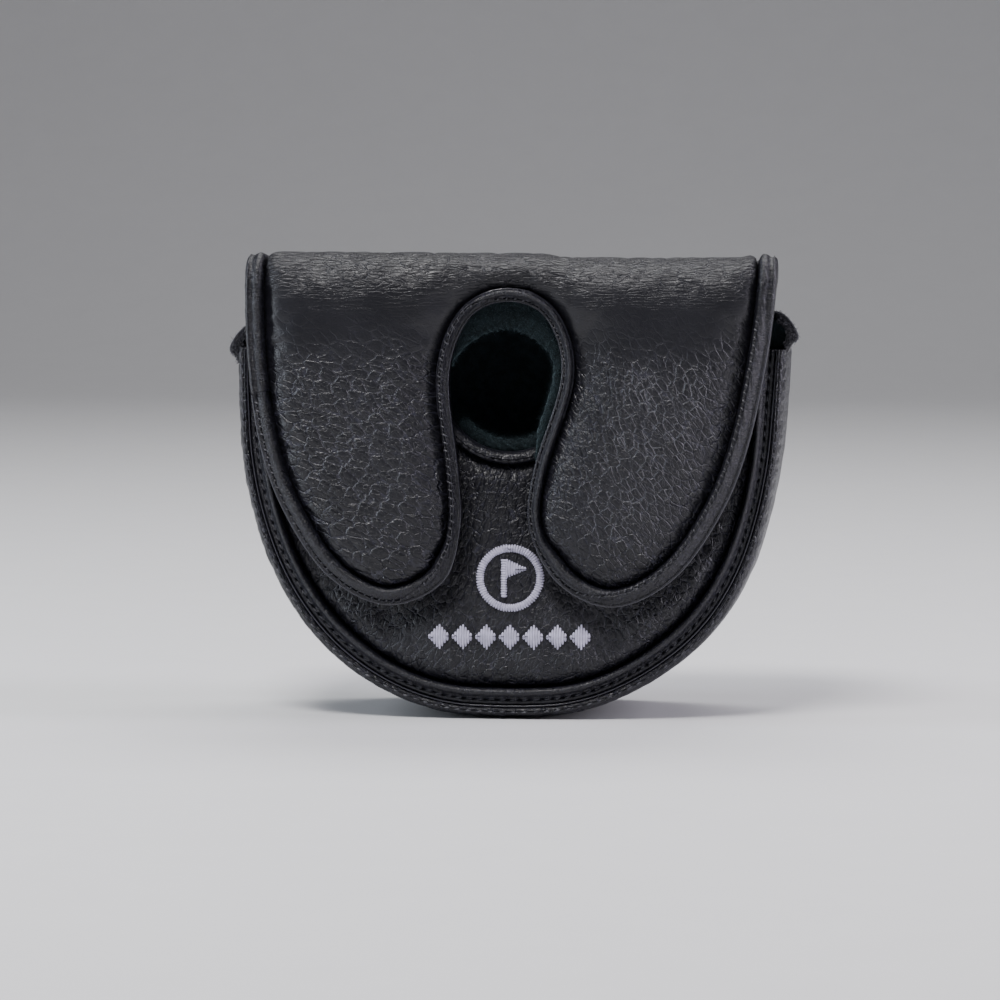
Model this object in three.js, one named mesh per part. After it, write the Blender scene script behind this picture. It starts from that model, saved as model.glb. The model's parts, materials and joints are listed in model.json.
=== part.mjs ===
// A padded leather head cover for a mallet putter.
// It stands on the bottom of its D-shaped pocket, with the crown side at -Y and the mouth at +Z.
// A padded flap folds over the mouth and hangs down the crown side as two lobes, one on each side
// of the club's shaft. All lengths are in millimetres.

import * as THREE from "three";

// Layers of every padded wall, from outside to inside
const GAP = 0.3;
const LEATHER = 1.2;
const FOAM = 3.2;
const LINING = 1.0;
const WALL = LEATHER + GAP + FOAM + GAP + LINING;

// The pocket
const HALF_WIDTH = 66;
const FOOT_HALF = 9;
const HEAD_SPACE = 28;
const EDGE_PROUD = 1;
const SEAM_INSET = 4;
const PANEL_INSET = 7.8;
const CROWN = 2;
const CROWN_RUN = 6;
const SHOULDER_Z = 69;
const MOUTH_Z = 88;
const NOTCH_RADIUS = 16;
const NOTCH_BOTTOM = 63.8;
const NOTCH_CORNER = 6;
const RIM_WIDTH = 3;
const RIM_SOFT = 0.8;
const RIM_PROUD = 0.6;

// The ears: how far the side wall's bound ends reach in, out and up from the mouth
const EAR_INSIDE = 59.8;
const EAR_REACH = 68;
const EAR_HEIGHT = 3.6;

// The flap
const TOP_Z = 109;
const FOLD_RADIUS = 7;
const FLAP_HALF = 62.5;
const BORDER = 5.2;
const SLOT_BORDER = 2.8;
const BORDER_SOFT = 1.4;
const CORD_INSET = 3.2;
const CORD_RADIUS = 1.5;
const CORD_SIDES = 6;
const EDGE_STATIONS = 88;
const SLOT_STATIONS = 22;
const BACK_HINGE_Z = 102;
const FRONT_FOLD_Z = 104.3;
const BORDER_JOIN_Z = 77;
const LOBE_BOTTOM = 27.5;
const LEAN = -2.4;
const SLOT_BIAS = -1.5;
const FOAM_FROM_MIDDLE = 4;
const FOLD_STEPS = 5;

// The catch: a magnet in each lobe over a steel plate in the front panel
const MAGNET_X = 31;
const MAGNET_SHIFT = -1.5;
const MAGNET_Z = 53;
const MAGNET_RADIUS = 8;
const MAGNET_THICK = 2.6;
const KEEPER_THICK = 1.5;

// The embroidery on the front panel
const THREAD_THICK = 0.6;
const EMBLEM_Z = 34;
const EMBLEM_RADIUS = 7.8;
const EMBLEM_STROKE = 1.45;
const ROW_Z = 20;
const ROW_HALF_HEIGHT = 2.9;
const ROW_PITCH = 5.6;
const ROW_COUNT = 7;

// Depths along Y, worked out from the stack of layers
const DEPTH = EDGE_PROUD + WALL + HEAD_SPACE + WALL + EDGE_PROUD + GAP + WALL;
const BACK_FACE = DEPTH / 2;
const BACK_LEATHER = BACK_FACE - EDGE_PROUD;
const INSIDE_BACK = BACK_LEATHER - WALL;
const INSIDE_FRONT = INSIDE_BACK - HEAD_SPACE;
const FRONT_LEATHER = INSIDE_FRONT - WALL;
const FRONT_RIM = FRONT_LEATHER - EDGE_PROUD;
const FLAP_BACK = FRONT_RIM - GAP;
const FLAP_FACE = FLAP_BACK - WALL;
const SEAM_DEPTH = 5.5;
const GUSSET_FRONT = FRONT_RIM + SEAM_DEPTH + GAP;
const GUSSET_BACK = BACK_FACE - SEAM_DEPTH - GAP;
const STRIP_LOW = FRONT_FOLD_Z + GAP / 2;
const STRIP_FRONT = FLAP_BACK + GAP;

const group = new THREE.Group();

const colours = {
  leather: [0x1a1a1f, 0.55, 0],
  border: [0x141418, 0.45, 0],
  plush: [0x0f1d20, 0.95, 0],
  foam: [0x4a4a4e, 0.95, 0],
  cord: [0x5a5650, 0.9, 0],
  thread: [0xd6d2e2, 0.5, 0],
  steel: [0x9a9ca0, 0.35, 1],
};

function add(name, colour, geometry) {
  const [color, roughness, metalness] = colours[colour];
  const material = new THREE.MeshStandardMaterial({ color, roughness, metalness });
  const mesh = new THREE.Mesh(geometry, material);
  mesh.name = name;
  group.add(mesh);
}

// ---- Outlines in the X-Z plane ----

// Stations along a path, each with the unit normal that points to the left of travel, into the material
function stations(points) {
  return points.map((point, i) => {
    const before = points[Math.max(i - 1, 0)];
    const after = points[Math.min(i + 1, points.length - 1)];
    const along = after.clone().sub(before).normalize();
    return { point, normal: new THREE.Vector2(-along.y, along.x) };
  });
}

function inset(path, distance) {
  return path.map(({ point, normal }) => point.clone().addScaledVector(normal, distance));
}

// The pocket's outline as a U: down the left side, round the bottom, with its flat foot, and up the right
function pocketPath(topZ) {
  const path = new THREE.Path();
  path.moveTo(-HALF_WIDTH, topZ);
  path.lineTo(-HALF_WIDTH, SHOULDER_Z);
  path.bezierCurveTo(-HALF_WIDTH, 27, -42, 0, -FOOT_HALF, 0);
  path.lineTo(FOOT_HALF, 0);
  path.bezierCurveTo(42, 0, HALF_WIDTH, 27, HALF_WIDTH, SHOULDER_Z);
  path.lineTo(HALF_WIDTH, topZ);
  return stations(path.getPoints(11));
}

// The top edge of the front panel, from right to left, with the notch that clears the shaft
function mouthPath() {
  const end = HALF_WIDTH - PANEL_INSET;
  const corner = NOTCH_RADIUS + NOTCH_CORNER;
  const centreZ = NOTCH_BOTTOM + NOTCH_RADIUS;
  const shoulderZ = MOUTH_Z - NOTCH_CORNER;
  const path = new THREE.Path();
  path.moveTo(end, MOUTH_Z);
  path.lineTo(corner, MOUTH_Z);
  path.absarc(corner, shoulderZ, NOTCH_CORNER, Math.PI / 2, Math.PI, false);
  path.absarc(0, centreZ, NOTCH_RADIUS, 0, -Math.PI, true);
  path.absarc(-corner, shoulderZ, NOTCH_CORNER, 0, Math.PI / 2, false);
  path.lineTo(-end, MOUTH_Z);
  return stations(path.getPoints(8).filter((p, i, all) => i === 0 || p.distanceTo(all[i - 1]) > 0.01));
}

// The flap's free edge below the fold: left side, left lobe, slot, keyhole, right lobe and right side.
// The lobes hang slightly askew, so the edge leans towards -X on its way down.
function flapEdge() {
  const outer = [[FLAP_HALF, FRONT_FOLD_Z - GAP / 2], [61.4, 88], [58, 67], [52, 50], [41, 34.2]];
  const lobe = [[26.8, LOBE_BOTTOM], [13.6, 33.2]];
  const neck = [[8.2, 46], [8.8, 59.5]];
  const keyhole = [[13.2, 82], [9, 95.6]];
  const side = (sign) => [
    ...outer.map(([x, z]) => [sign * x, z]),
    ...lobe.map(([x, z]) => [sign * x, z]),
    ...neck.map(([x, z]) => [sign * x + SLOT_BIAS, z]),
    ...keyhole.map(([x, z]) => [sign * x, z]),
  ];
  const points = [...side(-1), [0, 99.6], ...side(1).reverse()];
  const lean = (z) => (LEAN * (FRONT_FOLD_Z - z)) / (FRONT_FOLD_Z - LOBE_BOTTOM);
  const curve = new THREE.SplineCurve(points.map(([x, z]) => new THREE.Vector2(x + lean(z), z)));
  const edge = stations(curve.getPoints(EDGE_STATIONS));
  edge.at(0).normal.set(1, 0);
  edge.at(-1).normal.set(-1, 0);
  return edge;
}

// ---- Solids ----

function closedSolid(vertices, triangles) {
  const v = (i) => new THREE.Vector3(...vertices[i]);
  const volume = triangles.reduce((sum, [a, b, c]) => sum + v(a).dot(v(b).cross(v(c))), 0);
  const faces = volume < 0 ? triangles.map(([a, b, c]) => [a, c, b]) : triangles;
  const geometry = new THREE.BufferGeometry();
  geometry.setAttribute("position", new THREE.Float32BufferAttribute(vertices.flat(), 3));
  geometry.setIndex(faces.flat());
  geometry.computeVertexNormals();
  return geometry;
}

// A section of [distance inside the edge, y] corners carried along a path
function sweep(path, section) {
  const outline = section.map(([x, y]) => new THREE.Vector2(x, y));
  if (THREE.ShapeUtils.isClockWise(outline)) outline.reverse();
  const count = outline.length;
  const vertices = path.flatMap(({ point, normal }) =>
    outline.map(({ x, y }) => [point.x + normal.x * x, y, point.y + normal.y * x]));
  const cap = THREE.ShapeUtils.triangulateShape(outline, []);
  const last = (path.length - 1) * count;
  const triangles = [...cap, ...cap.map(([a, b, c]) => [last + a, last + c, last + b])];
  for (let s = 0; s < last; s += count) {
    for (let k = 0; k < count; k += 1) {
      const a = s + k;
      const b = s + ((k + 1) % count);
      triangles.push([a, a + count, b], [b, a + count, b + count]);
    }
  }
  return closedSolid(vertices, triangles);
}

// A flat layer in the X-Z plane between two depths, with round holes where they are asked for
function layer(points, yLow, yHigh, holes = []) {
  const shape = new THREE.Shape(points);
  for (const [x, z, radius] of holes) {
    shape.holes.push(new THREE.Path().absarc(x, z, radius, 0, 2 * Math.PI, true));
  }
  const options = { depth: yHigh - yLow, bevelEnabled: false, curveSegments: 12 };
  const geometry = new THREE.ExtrudeGeometry(shape, options);
  geometry.rotateX(Math.PI / 2);
  geometry.translate(0, yHigh, 0);
  return geometry;
}

function disc(x, z, radius, yLow, yHigh) {
  const geometry = new THREE.CylinderGeometry(radius, radius, yHigh - yLow, 24);
  geometry.translate(x, (yLow + yHigh) / 2, z);
  return geometry;
}

// Part of a path, stopping one gap short of its last station
function stretch(path, from, to) {
  const part = path.slice(from, to + 1);
  const { point, normal } = part.at(-1);
  const back = part.at(-2).point.clone().sub(point).setLength(GAP);
  return [...part.slice(0, -1), { point: point.clone().add(back), normal }];
}

function ringSection(distance, y, radius, sides) {
  return Array.from({ length: sides }, (_, i) => {
    const angle = (2 * Math.PI * i) / sides;
    return [distance + radius * Math.cos(angle), y + radius * Math.sin(angle)];
  });
}

// ---- Pocket: two padded panels joined by a padded side wall ----

const magnetSpots = [-1, 1].map((side) => [side * MAGNET_X + MAGNET_SHIFT, MAGNET_Z]);
const foamHoles = magnetSpots.map(([x, z]) => [x, z, MAGNET_RADIUS + GAP]);

function addPanelLayers(prefix, outline, liningOutline, outerY, inward, holes) {
  const depths = (from, thickness) => {
    const a = outerY + inward * from;
    const b = outerY + inward * (from + thickness);
    return [Math.min(a, b), Math.max(a, b)];
  };
  add(`${prefix}_leather`, "leather", layer(outline, ...depths(0, LEATHER)));
  add(`${prefix}_foam`, "foam", layer(outline, ...depths(LEATHER + GAP, FOAM), holes));
  add(`${prefix}_lining`, "plush", layer(liningOutline, ...depths(WALL - LINING, LINING)));
}

function addFrontPanel() {
  const sides = pocketPath(MOUTH_Z);
  const mouth = mouthPath();
  const rim = inset(mouth, RIM_WIDTH + GAP);
  const outline = (distance) => {
    const top = MOUTH_Z - RIM_WIDTH - GAP;
    const edge = inset(sides, distance).filter((p) => p.y < top - GAP);
    const left = new THREE.Vector2(-HALF_WIDTH + distance, top);
    const right = new THREE.Vector2(HALF_WIDTH - distance, top);
    const notch = rim.filter((p) => Math.abs(p.x) < right.x - WALL);
    return [left, ...edge, right, ...notch];
  };
  addPanelLayers("front_panel", outline(PANEL_INSET), outline(WALL + GAP), FRONT_LEATHER, 1, foamHoles);
  add("mouth_binding", "border", sweep(mouth, [
    [0, FRONT_LEATHER + RIM_SOFT],
    [RIM_SOFT, FRONT_LEATHER - RIM_PROUD],
    [RIM_WIDTH, FRONT_LEATHER - RIM_PROUD],
    [RIM_WIDTH, INSIDE_FRONT],
    [RIM_SOFT, INSIDE_FRONT],
    [0, INSIDE_FRONT - RIM_SOFT],
  ]));
}

function addBackPanel() {
  const top = BACK_HINGE_Z - GAP / 2;
  const sides = pocketPath(top);
  addPanelLayers("back_panel", inset(sides, PANEL_INSET), inset(sides, WALL + GAP), BACK_LEATHER, -1, []);
}

// The rolled edge that joins a panel to the side wall, from its seam face to its proud front
function seamSection(rimY, inward) {
  const y = (depth) => rimY + inward * depth;
  return [
    [CROWN + 0.4, y(SEAM_DEPTH)],
    [SEAM_INSET, y(2.4)],
    [SEAM_INSET + 0.6, y(0.7)],
    [SEAM_INSET + 1.6, y(0)],
    [PANEL_INSET - 1, y(0.2)],
    [PANEL_INSET - GAP, y(1)],
    [PANEL_INSET - GAP, y(SEAM_DEPTH)],
  ];
}

function addSideWall() {
  const path = pocketPath(MOUTH_Z);
  const crowned = (distance) => [
    [CROWN + distance, GUSSET_FRONT],
    [distance, GUSSET_FRONT + CROWN_RUN],
    [distance, GUSSET_BACK - CROWN_RUN],
    [CROWN + distance, GUSSET_BACK],
  ];
  const foamInside = LEATHER + GAP + FOAM;
  const box = (near, far) => [
    [near, GUSSET_FRONT],
    [near, GUSSET_BACK],
    [far, GUSSET_BACK],
    [far, GUSSET_FRONT],
  ];
  add("gusset_leather", "leather", sweep(path, [...crowned(0), ...crowned(LEATHER).reverse()]));
  add("gusset_foam", "foam", sweep(path, [
    ...crowned(LEATHER + GAP),
    [foamInside, GUSSET_BACK],
    [foamInside, GUSSET_FRONT],
  ]));
  add("gusset_lining", "plush", sweep(path, box(WALL - LINING, WALL)));
  add("front_edge_binding", "border", sweep(path, seamSection(FRONT_RIM, 1)));
  add("back_edge_binding", "border", sweep(pocketPath(BACK_HINGE_Z - GAP / 2), seamSection(BACK_FACE, -1)));
}

// The bound top ends of the side wall, which stick out as small ears at the mouth
function addEars() {
  const low = MOUTH_Z + GAP;
  const high = low + EAR_HEIGHT;
  const profile = [
    [EAR_INSIDE, low],
    [HALF_WIDTH, low],
    [EAR_REACH, low + 1.6],
    [EAR_REACH - 0.6, high],
    [EAR_INSIDE + 1.2, high - 0.2],
  ];
  for (const [name, side] of [["left", -1], ["right", 1]]) {
    const points = profile.map(([x, z]) => new THREE.Vector2(side * x, z));
    add(`gusset_end_binding_${name}`, "border", layer(points, GUSSET_FRONT, GUSSET_BACK));
  }
}

function addEmbroidery() {
  const back = FRONT_LEATHER - GAP;
  const front = back - THREAD_THICK;
  const ring = new THREE.Shape().absarc(0, EMBLEM_Z, EMBLEM_RADIUS, 0, 2 * Math.PI, false);
  const hole = [0, EMBLEM_Z, EMBLEM_RADIUS - EMBLEM_STROKE];
  add("emblem_ring", "thread", layer(ring.getPoints(18).slice(0, -1), front, back, [hole]));
  // A pole with a three-cornered flag at its top
  const flag = [[-1.9, -4.2], [-0.9, -4.2], [-0.9, 0.2], [3.6, 2.2], [-0.9, 4.4], [-1.9, 4.4]];
  const flagPoints = flag.map(([x, z]) => new THREE.Vector2(x, z + EMBLEM_Z));
  add("emblem_flag", "thread", layer(flagPoints, front, back));
  for (let i = 0; i < ROW_COUNT; i += 1) {
    const x = (i - (ROW_COUNT - 1) / 2) * ROW_PITCH;
    const reach = ROW_PITCH / 2 - GAP;
    const diamond = [[reach, 0], [0, ROW_HALF_HEIGHT], [-reach, 0], [0, -ROW_HALF_HEIGHT]];
    const points = diamond.map(([dx, dz]) => new THREE.Vector2(x + dx, ROW_Z + dz));
    add(`diamond_${i + 1}`, "thread", layer(points, front, back));
  }
}

function addCatch() {
  const front = FRONT_LEATHER + LEATHER + 2 * GAP;
  const lobe = FLAP_BACK - LINING - 2 * GAP;
  magnetSpots.forEach(([x, z], i) => {
    const name = i === 0 ? "left" : "right";
    add(`${name}_keeper_plate`, "steel", disc(x, z, MAGNET_RADIUS, front, front + KEEPER_THICK));
    add(`${name}_magnet`, "steel", disc(x, z, MAGNET_RADIUS, lobe - MAGNET_THICK, lobe));
  });
}

// ---- Flap: a top strip over the mouth, and the lobes that hang from it ----

// The strip's section in the Y-Z plane at a depth below its outer skin, from the back to the front.
// Outer layers turn down to the front fold, and inner ones stop behind the lobes.
function stripProfile(depth) {
  const radius = FOLD_RADIUS - depth;
  const centreZ = TOP_Z - FOLD_RADIUS;
  const points = [new THREE.Vector2(BACK_FACE - depth, BACK_HINGE_Z + GAP / 2)];
  const arc = (centreY, from, to) => {
    for (let i = 0; i <= FOLD_STEPS; i += 1) {
      const angle = from + ((to - from) * i) / FOLD_STEPS;
      points.push(new THREE.Vector2(centreY + radius * Math.cos(angle), centreZ + radius * Math.sin(angle)));
    }
  };
  arc(BACK_FACE - FOLD_RADIUS, Math.PI / 8, Math.PI / 2);
  const reach = (STRIP_LOW - centreZ) / radius;
  if (reach < 1) arc(FLAP_FACE + FOLD_RADIUS, Math.PI / 2, Math.PI - Math.asin(reach));
  else points.push(new THREE.Vector2(STRIP_FRONT, centreZ + radius));
  return points;
}

function addTopStrip() {
  const alongX = new THREE.Matrix4().makeBasis(
    new THREE.Vector3(0, 1, 0),
    new THREE.Vector3(0, 0, 1),
    new THREE.Vector3(1, 0, 0),
  );
  const strip = (near, far, fromX, toX) => {
    const stepped = TOP_Z - near > STRIP_LOW && TOP_Z - far < STRIP_LOW;
    const corner = stepped ? [new THREE.Vector2(STRIP_FRONT, STRIP_LOW)] : [];
    const shape = new THREE.Shape([...stripProfile(near), ...corner, ...stripProfile(far).reverse()]);
    const geometry = new THREE.ExtrudeGeometry(shape, { depth: toX - fromX, bevelEnabled: false });
    geometry.applyMatrix4(alongX);
    geometry.translate(fromX, 0, 0);
    return geometry;
  };
  const inner = FLAP_HALF - BORDER - GAP;
  add("bridge_leather", "leather", strip(0, LEATHER, -inner, inner));
  add("bridge_foam", "foam", strip(LEATHER + GAP, LEATHER + GAP + FOAM, -inner, inner));
  add("bridge_lining", "plush", strip(WALL - LINING, WALL, -inner, inner));
  add("bridge_binding_left", "border", strip(0, WALL, -FLAP_HALF, -inner - GAP));
  add("bridge_binding_right", "border", strip(0, WALL, inner + GAP, FLAP_HALF));
}

function addLobes() {
  const edge = flapEdge();
  const top = FRONT_FOLD_Z - GAP / 2;
  const middle = (edge.length - 1) / 2;
  const widthAt = (i) => (Math.abs(i - middle) < SLOT_STATIONS ? SLOT_BORDER : BORDER);
  const inside = edge.map(({ point, normal }, i) =>
    point.clone().addScaledVector(normal, widthAt(i) + GAP));
  const capped = inside.map((p) => new THREE.Vector2(p.x, Math.min(p.y, top)));
  const leather = [FLAP_FACE, FLAP_FACE + LEATHER];
  const foam = [FLAP_FACE + LEATHER + GAP, FLAP_FACE + LEATHER + GAP + FOAM];
  add("flap_leather", "leather", layer(capped, ...leather));
  add("flap_lining", "plush", layer(capped, FLAP_BACK - LINING, FLAP_BACK));
  const left = capped.filter((p, i) => i <= middle && p.x < -FOAM_FROM_MIDDLE);
  const right = capped.filter((p, i) => i >= middle && p.x > FOAM_FROM_MIDDLE);
  left.push(new THREE.Vector2(-FOAM_FROM_MIDDLE, top));
  right.unshift(new THREE.Vector2(FOAM_FROM_MIDDLE, top));
  add("left_lobe_foam", "foam", layer(left, ...foam, [foamHoles[0]]));
  add("right_lobe_foam", "foam", layer(right, ...foam, [foamHoles[1]]));
  addBorders(edge, middle);
}

// The rolled leather border, a channel folded round a filler cord, in the lengths it is sewn in
function addBorders(edge, middle) {
  const outside = (width) => [
    [width, FLAP_FACE],
    [BORDER_SOFT, FLAP_FACE],
    [0, FLAP_FACE + BORDER_SOFT],
    [0, FLAP_BACK - BORDER_SOFT],
    [BORDER_SOFT, FLAP_BACK],
    [width, FLAP_BACK],
  ];
  const channel = [
    ...outside(BORDER),
    [BORDER, FLAP_BACK - LEATHER],
    [LEATHER, FLAP_BACK - LEATHER],
    [LEATHER, FLAP_FACE + LEATHER],
    [BORDER, FLAP_FACE + LEATHER],
  ];
  const join = edge.findIndex(({ point }) => point.y < BORDER_JOIN_Z);
  const slot = SLOT_STATIONS;
  const cord = ringSection(CORD_INSET, (FLAP_FACE + FLAP_BACK) / 2, CORD_RADIUS, CORD_SIDES);
  const lengths = {
    left_upper_border: [0, join, channel],
    left_lobe_border: [join, middle - slot, channel],
    keyhole_border: [middle - slot, middle + slot, outside(SLOT_BORDER)],
  };
  for (const [name, [from, to, section]] of Object.entries(lengths)) {
    add(name, "border", sweep(stretch(edge, from, to), section));
  }
  const rightSide = edge.slice(middle + slot);
  add("right_lobe_border", "border", sweep(rightSide, channel));
  add("left_border_cord", "cord", sweep(stretch(edge, 0, middle - slot), cord));
  add("right_border_cord", "cord", sweep(rightSide, cord));
}

addBackPanel();
addFrontPanel();
addSideWall();
addEars();
addEmbroidery();
addCatch();
addTopStrip();
addLobes();

export default group;
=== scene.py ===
"""A padded leather head cover for a mallet putter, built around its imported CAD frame.

Shapes are worked out in millimetres. The flap and the back are drawn in a flat domain (x, v), where v is
the height on the crown side and then runs on over the top and down the back, and are wrapped round the
cover with a depth below its outer skin. Meshes are made in metres.
"""
import json
import math

import bpy
import numpy as np
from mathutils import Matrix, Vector
from mathutils.bvhtree import BVHTree
from mathutils.geometry import delaunay_2d_cdt


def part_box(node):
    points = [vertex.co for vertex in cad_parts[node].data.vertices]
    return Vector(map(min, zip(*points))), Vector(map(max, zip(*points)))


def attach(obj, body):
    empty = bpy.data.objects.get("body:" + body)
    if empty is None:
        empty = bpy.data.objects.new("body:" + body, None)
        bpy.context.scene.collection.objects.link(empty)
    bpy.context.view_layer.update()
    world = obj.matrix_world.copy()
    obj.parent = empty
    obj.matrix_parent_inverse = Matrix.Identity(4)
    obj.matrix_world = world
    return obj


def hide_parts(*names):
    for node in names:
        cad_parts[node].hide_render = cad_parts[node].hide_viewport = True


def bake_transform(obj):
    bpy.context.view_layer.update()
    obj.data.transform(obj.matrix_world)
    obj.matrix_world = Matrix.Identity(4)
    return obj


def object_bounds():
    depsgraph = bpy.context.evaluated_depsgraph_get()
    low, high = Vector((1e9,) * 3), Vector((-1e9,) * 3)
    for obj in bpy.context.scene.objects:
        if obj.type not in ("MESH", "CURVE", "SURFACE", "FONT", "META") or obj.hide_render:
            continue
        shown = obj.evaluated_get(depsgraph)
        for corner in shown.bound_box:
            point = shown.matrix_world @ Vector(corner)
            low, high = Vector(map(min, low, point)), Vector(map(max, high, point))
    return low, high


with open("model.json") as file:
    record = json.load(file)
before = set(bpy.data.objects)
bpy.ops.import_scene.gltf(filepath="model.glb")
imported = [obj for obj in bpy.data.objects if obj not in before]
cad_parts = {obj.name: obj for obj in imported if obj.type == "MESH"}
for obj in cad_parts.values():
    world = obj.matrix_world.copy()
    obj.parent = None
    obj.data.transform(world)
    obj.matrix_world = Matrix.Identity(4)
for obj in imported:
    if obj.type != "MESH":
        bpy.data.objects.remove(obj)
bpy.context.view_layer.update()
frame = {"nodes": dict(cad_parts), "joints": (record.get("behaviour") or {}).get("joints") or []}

MM = 0.001
rng = np.random.default_rng(11)


def node_box(*nodes):
    """Lowest and highest corner, in millimetres, of some CAD nodes together."""
    corners = np.array([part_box(n) for n in nodes]) / MM
    return corners[:, 0].min(axis=0), corners[:, 1].max(axis=0)


# ---- Places and sizes, in millimetres, read from the CAD frame ----

gusset_low, gusset_high = node_box("gusset_leather")
flap_low, _ = node_box("flap_leather", "left_lobe_border", "right_lobe_border")
front_low, _ = node_box("front_edge_binding")
_, back_high = node_box("back_edge_binding")
_, bridge_high = node_box("bridge_binding_left", "bridge_binding_right")
emblem_low, emblem_high = node_box("emblem_ring")
flag_low, flag_high = node_box("emblem_flag")
diamond_boxes = [node_box(f"diamond_{i}") for i in range(1, 8)]

HALF_WIDTH = gusset_high[0]
MOUTH_Z = gusset_high[2]
GUSSET_FRONT, GUSSET_BACK = gusset_low[1], gusset_high[1]
FACE_Y = flap_low[1]
BACK_Y = back_high[1]
TOP_Z = bridge_high[2]
FRONT_RIM_Y = front_low[1]
FLAP_HALF = bridge_high[0]
LOBE_LOW_Z = flap_low[2]

# Sizes that the CAD source names and a box can't give, and the linings' distance inside the outline
FOOT_HALF = 9.0
FOLD_RADIUS = 7.0
PANEL_INSET = 7.8
RIM_WIDTH = 3.0
BORDER = 5.2
LINING_INSET = 6.2
NOTCH_RADIUS = 16.0
NOTCH_BOTTOM = 63.8
NOTCH_CORNER = 6.0
LEAN = -2.4
SLOT_BIAS = -1.5
BORDER_JOIN_Z = 77.0
PANEL_END = HALF_WIDTH - PANEL_INSET

joints = {j["name"]: j for j in frame["joints"]}
FRONT_FOLD_Z = joints["front_fold"]["pos_m"][2] / MM

# The flat domain: where the face ends, the front corner ends, the top ends and the back corner ends
V_FACE = TOP_Z - FOLD_RADIUS
V_TOP = V_FACE + FOLD_RADIUS * math.pi / 2
V_REAR = V_TOP + (BACK_Y - FACE_Y) - 2 * FOLD_RADIUS
V_BACK = V_REAR + FOLD_RADIUS * math.pi / 2
V_SPLIT = (V_TOP + V_REAR) / 2


def smooth(low, high, value):
    t = np.clip((np.asarray(value, float) - low) / (high - low), 0, 1)
    return t * t * (3 - 2 * t)


def back_v(z):
    """The flat height of a point on the back at height z."""
    return V_BACK + V_FACE - z


# ---- Wrapping flat places round the cover ----

TAPER_CENTRE_Z = 69.0
TAPER_LEFT, TAPER_RIGHT = 1.9, 3.0


def taper(x, z):
    """The pocket's outline drawn in a little towards the foot, more on the right, as a filled cover sags."""
    fall = np.clip(TAPER_CENTRE_Z - z, 0, None)
    reach = np.maximum(np.hypot(x, fall), 1)
    pull = np.where(x > 0, TAPER_RIGHT, TAPER_LEFT) * smooth(98, 42, z)
    pull = pull * smooth(1, 40, np.abs(x)) * smooth(44, 68, reach) / reach
    return x - pull * x, z + pull * fall


def matched(*values):
    """Numbers and arrays as float arrays of one shape."""
    return np.broadcast_arrays(*(np.asarray(v, float) for v in values))


def wrap_flap(x, v, depth):
    """Flat points and their depth below the outer skin, to places round the cover."""
    x, v, depth = matched(x, v, depth)
    front = np.clip((v - V_FACE) / FOLD_RADIUS, 0, math.pi / 2)
    rear = np.clip((v - V_REAR) / FOLD_RADIUS, 0, math.pi / 2)
    reach = FOLD_RADIUS - depth
    along = np.clip(v, V_TOP, V_REAR) - V_TOP
    y = FACE_Y + FOLD_RADIUS - reach * np.cos(front) + along + reach * np.sin(rear)
    z = V_FACE + reach * np.sin(front) - reach * (1 - np.cos(rear))
    z = z - np.clip(V_FACE - v, 0, None) - np.clip(v - V_BACK, 0, None)
    rear_x, rear_z = taper(x, z)
    return np.stack([np.where(v > V_SPLIT, rear_x, x), y, np.where(v > V_SPLIT, rear_z, z)], axis=-1)


def wrap_plain(x, z, y):
    """Points of the pocket given by their own place along Y."""
    x, z, y = matched(x, z, y)
    x, z = taper(x, z)
    return np.stack([x, y, z], axis=-1)


def wrap_front(x, z, depth):
    """Points of the front panel, at a depth behind its rim."""
    return wrap_plain(x, z, FRONT_RIM_Y + np.asarray(depth, float))


# How far the soft piece strays from its drawing
SWAY_X, SWAY_Y, SWAY_Z = 0.30, 0.35, 0.22
RIGHT_DIP = 1.2
TOP_SINK = 2.9
TOP_LIFT = 1.4
TOP_PINCH = 0.075
FLOOR_GAP = 0.02


def sway(points):
    """The slight unevenness of a hand-filled soft piece, the same for every layer at one place.

    The top sinks and narrows a little behind the front fold, and dips on the right.
    """
    x, y, z = np.asarray(points, float).T
    lift = smooth(0, 25, z)
    dip = RIGHT_DIP * smooth(4, 20, x) * smooth(60, 50, x) * smooth(96, 107, z)
    slope = TOP_SINK * smooth(-19, 6, y) * smooth(98, 106, z) - TOP_LIFT * smooth(100, 108, z)
    pinch = TOP_PINCH * smooth(-16, 14, y) * smooth(86, 100, z)
    out = np.stack([
        x * (1 - pinch) + SWAY_X * lift * np.sin(z / 17 + y / 40 + 1.1),
        y + SWAY_Y * lift * np.sin(x / 19 + 0.7) * np.cos(z / 23 + 0.4),
        z + SWAY_Z * lift * np.sin(x / 15 - 0.8 + y / 30) - dip - slope,
    ], axis=1)
    out[:, 2] = np.maximum(out[:, 2], FLOOR_GAP)
    return out


# ---- Curves in the flat domain ----

def lengths_along(path):
    return np.concatenate([[0], np.cumsum(np.linalg.norm(np.diff(path, axis=0), axis=1))])


def resample(points, step):
    points = np.asarray(points, float)
    moved = np.linalg.norm(np.diff(points, axis=0), axis=1) > 1e-6
    points = points[np.concatenate([[True], moved])]
    total = lengths_along(points)
    places = np.linspace(0, total[-1], max(2, round(total[-1] / step) + 1))
    return np.stack([np.interp(places, total, points[:, i]) for i in range(points.shape[1])], axis=1)


def left_normals(path):
    along = np.gradient(path, axis=0)
    along /= np.linalg.norm(along, axis=1)[:, None]
    return np.stack([-along[:, 1], along[:, 0]], axis=1)


def offset(path, distance):
    return path + left_normals(path) * np.reshape(distance, (-1, 1))


def arc(centre, radius, start, end, count=24):
    angles = np.linspace(start, end, count)
    return np.stack([centre[0] + radius * np.cos(angles), centre[1] + radius * np.sin(angles)], axis=1)


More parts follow.
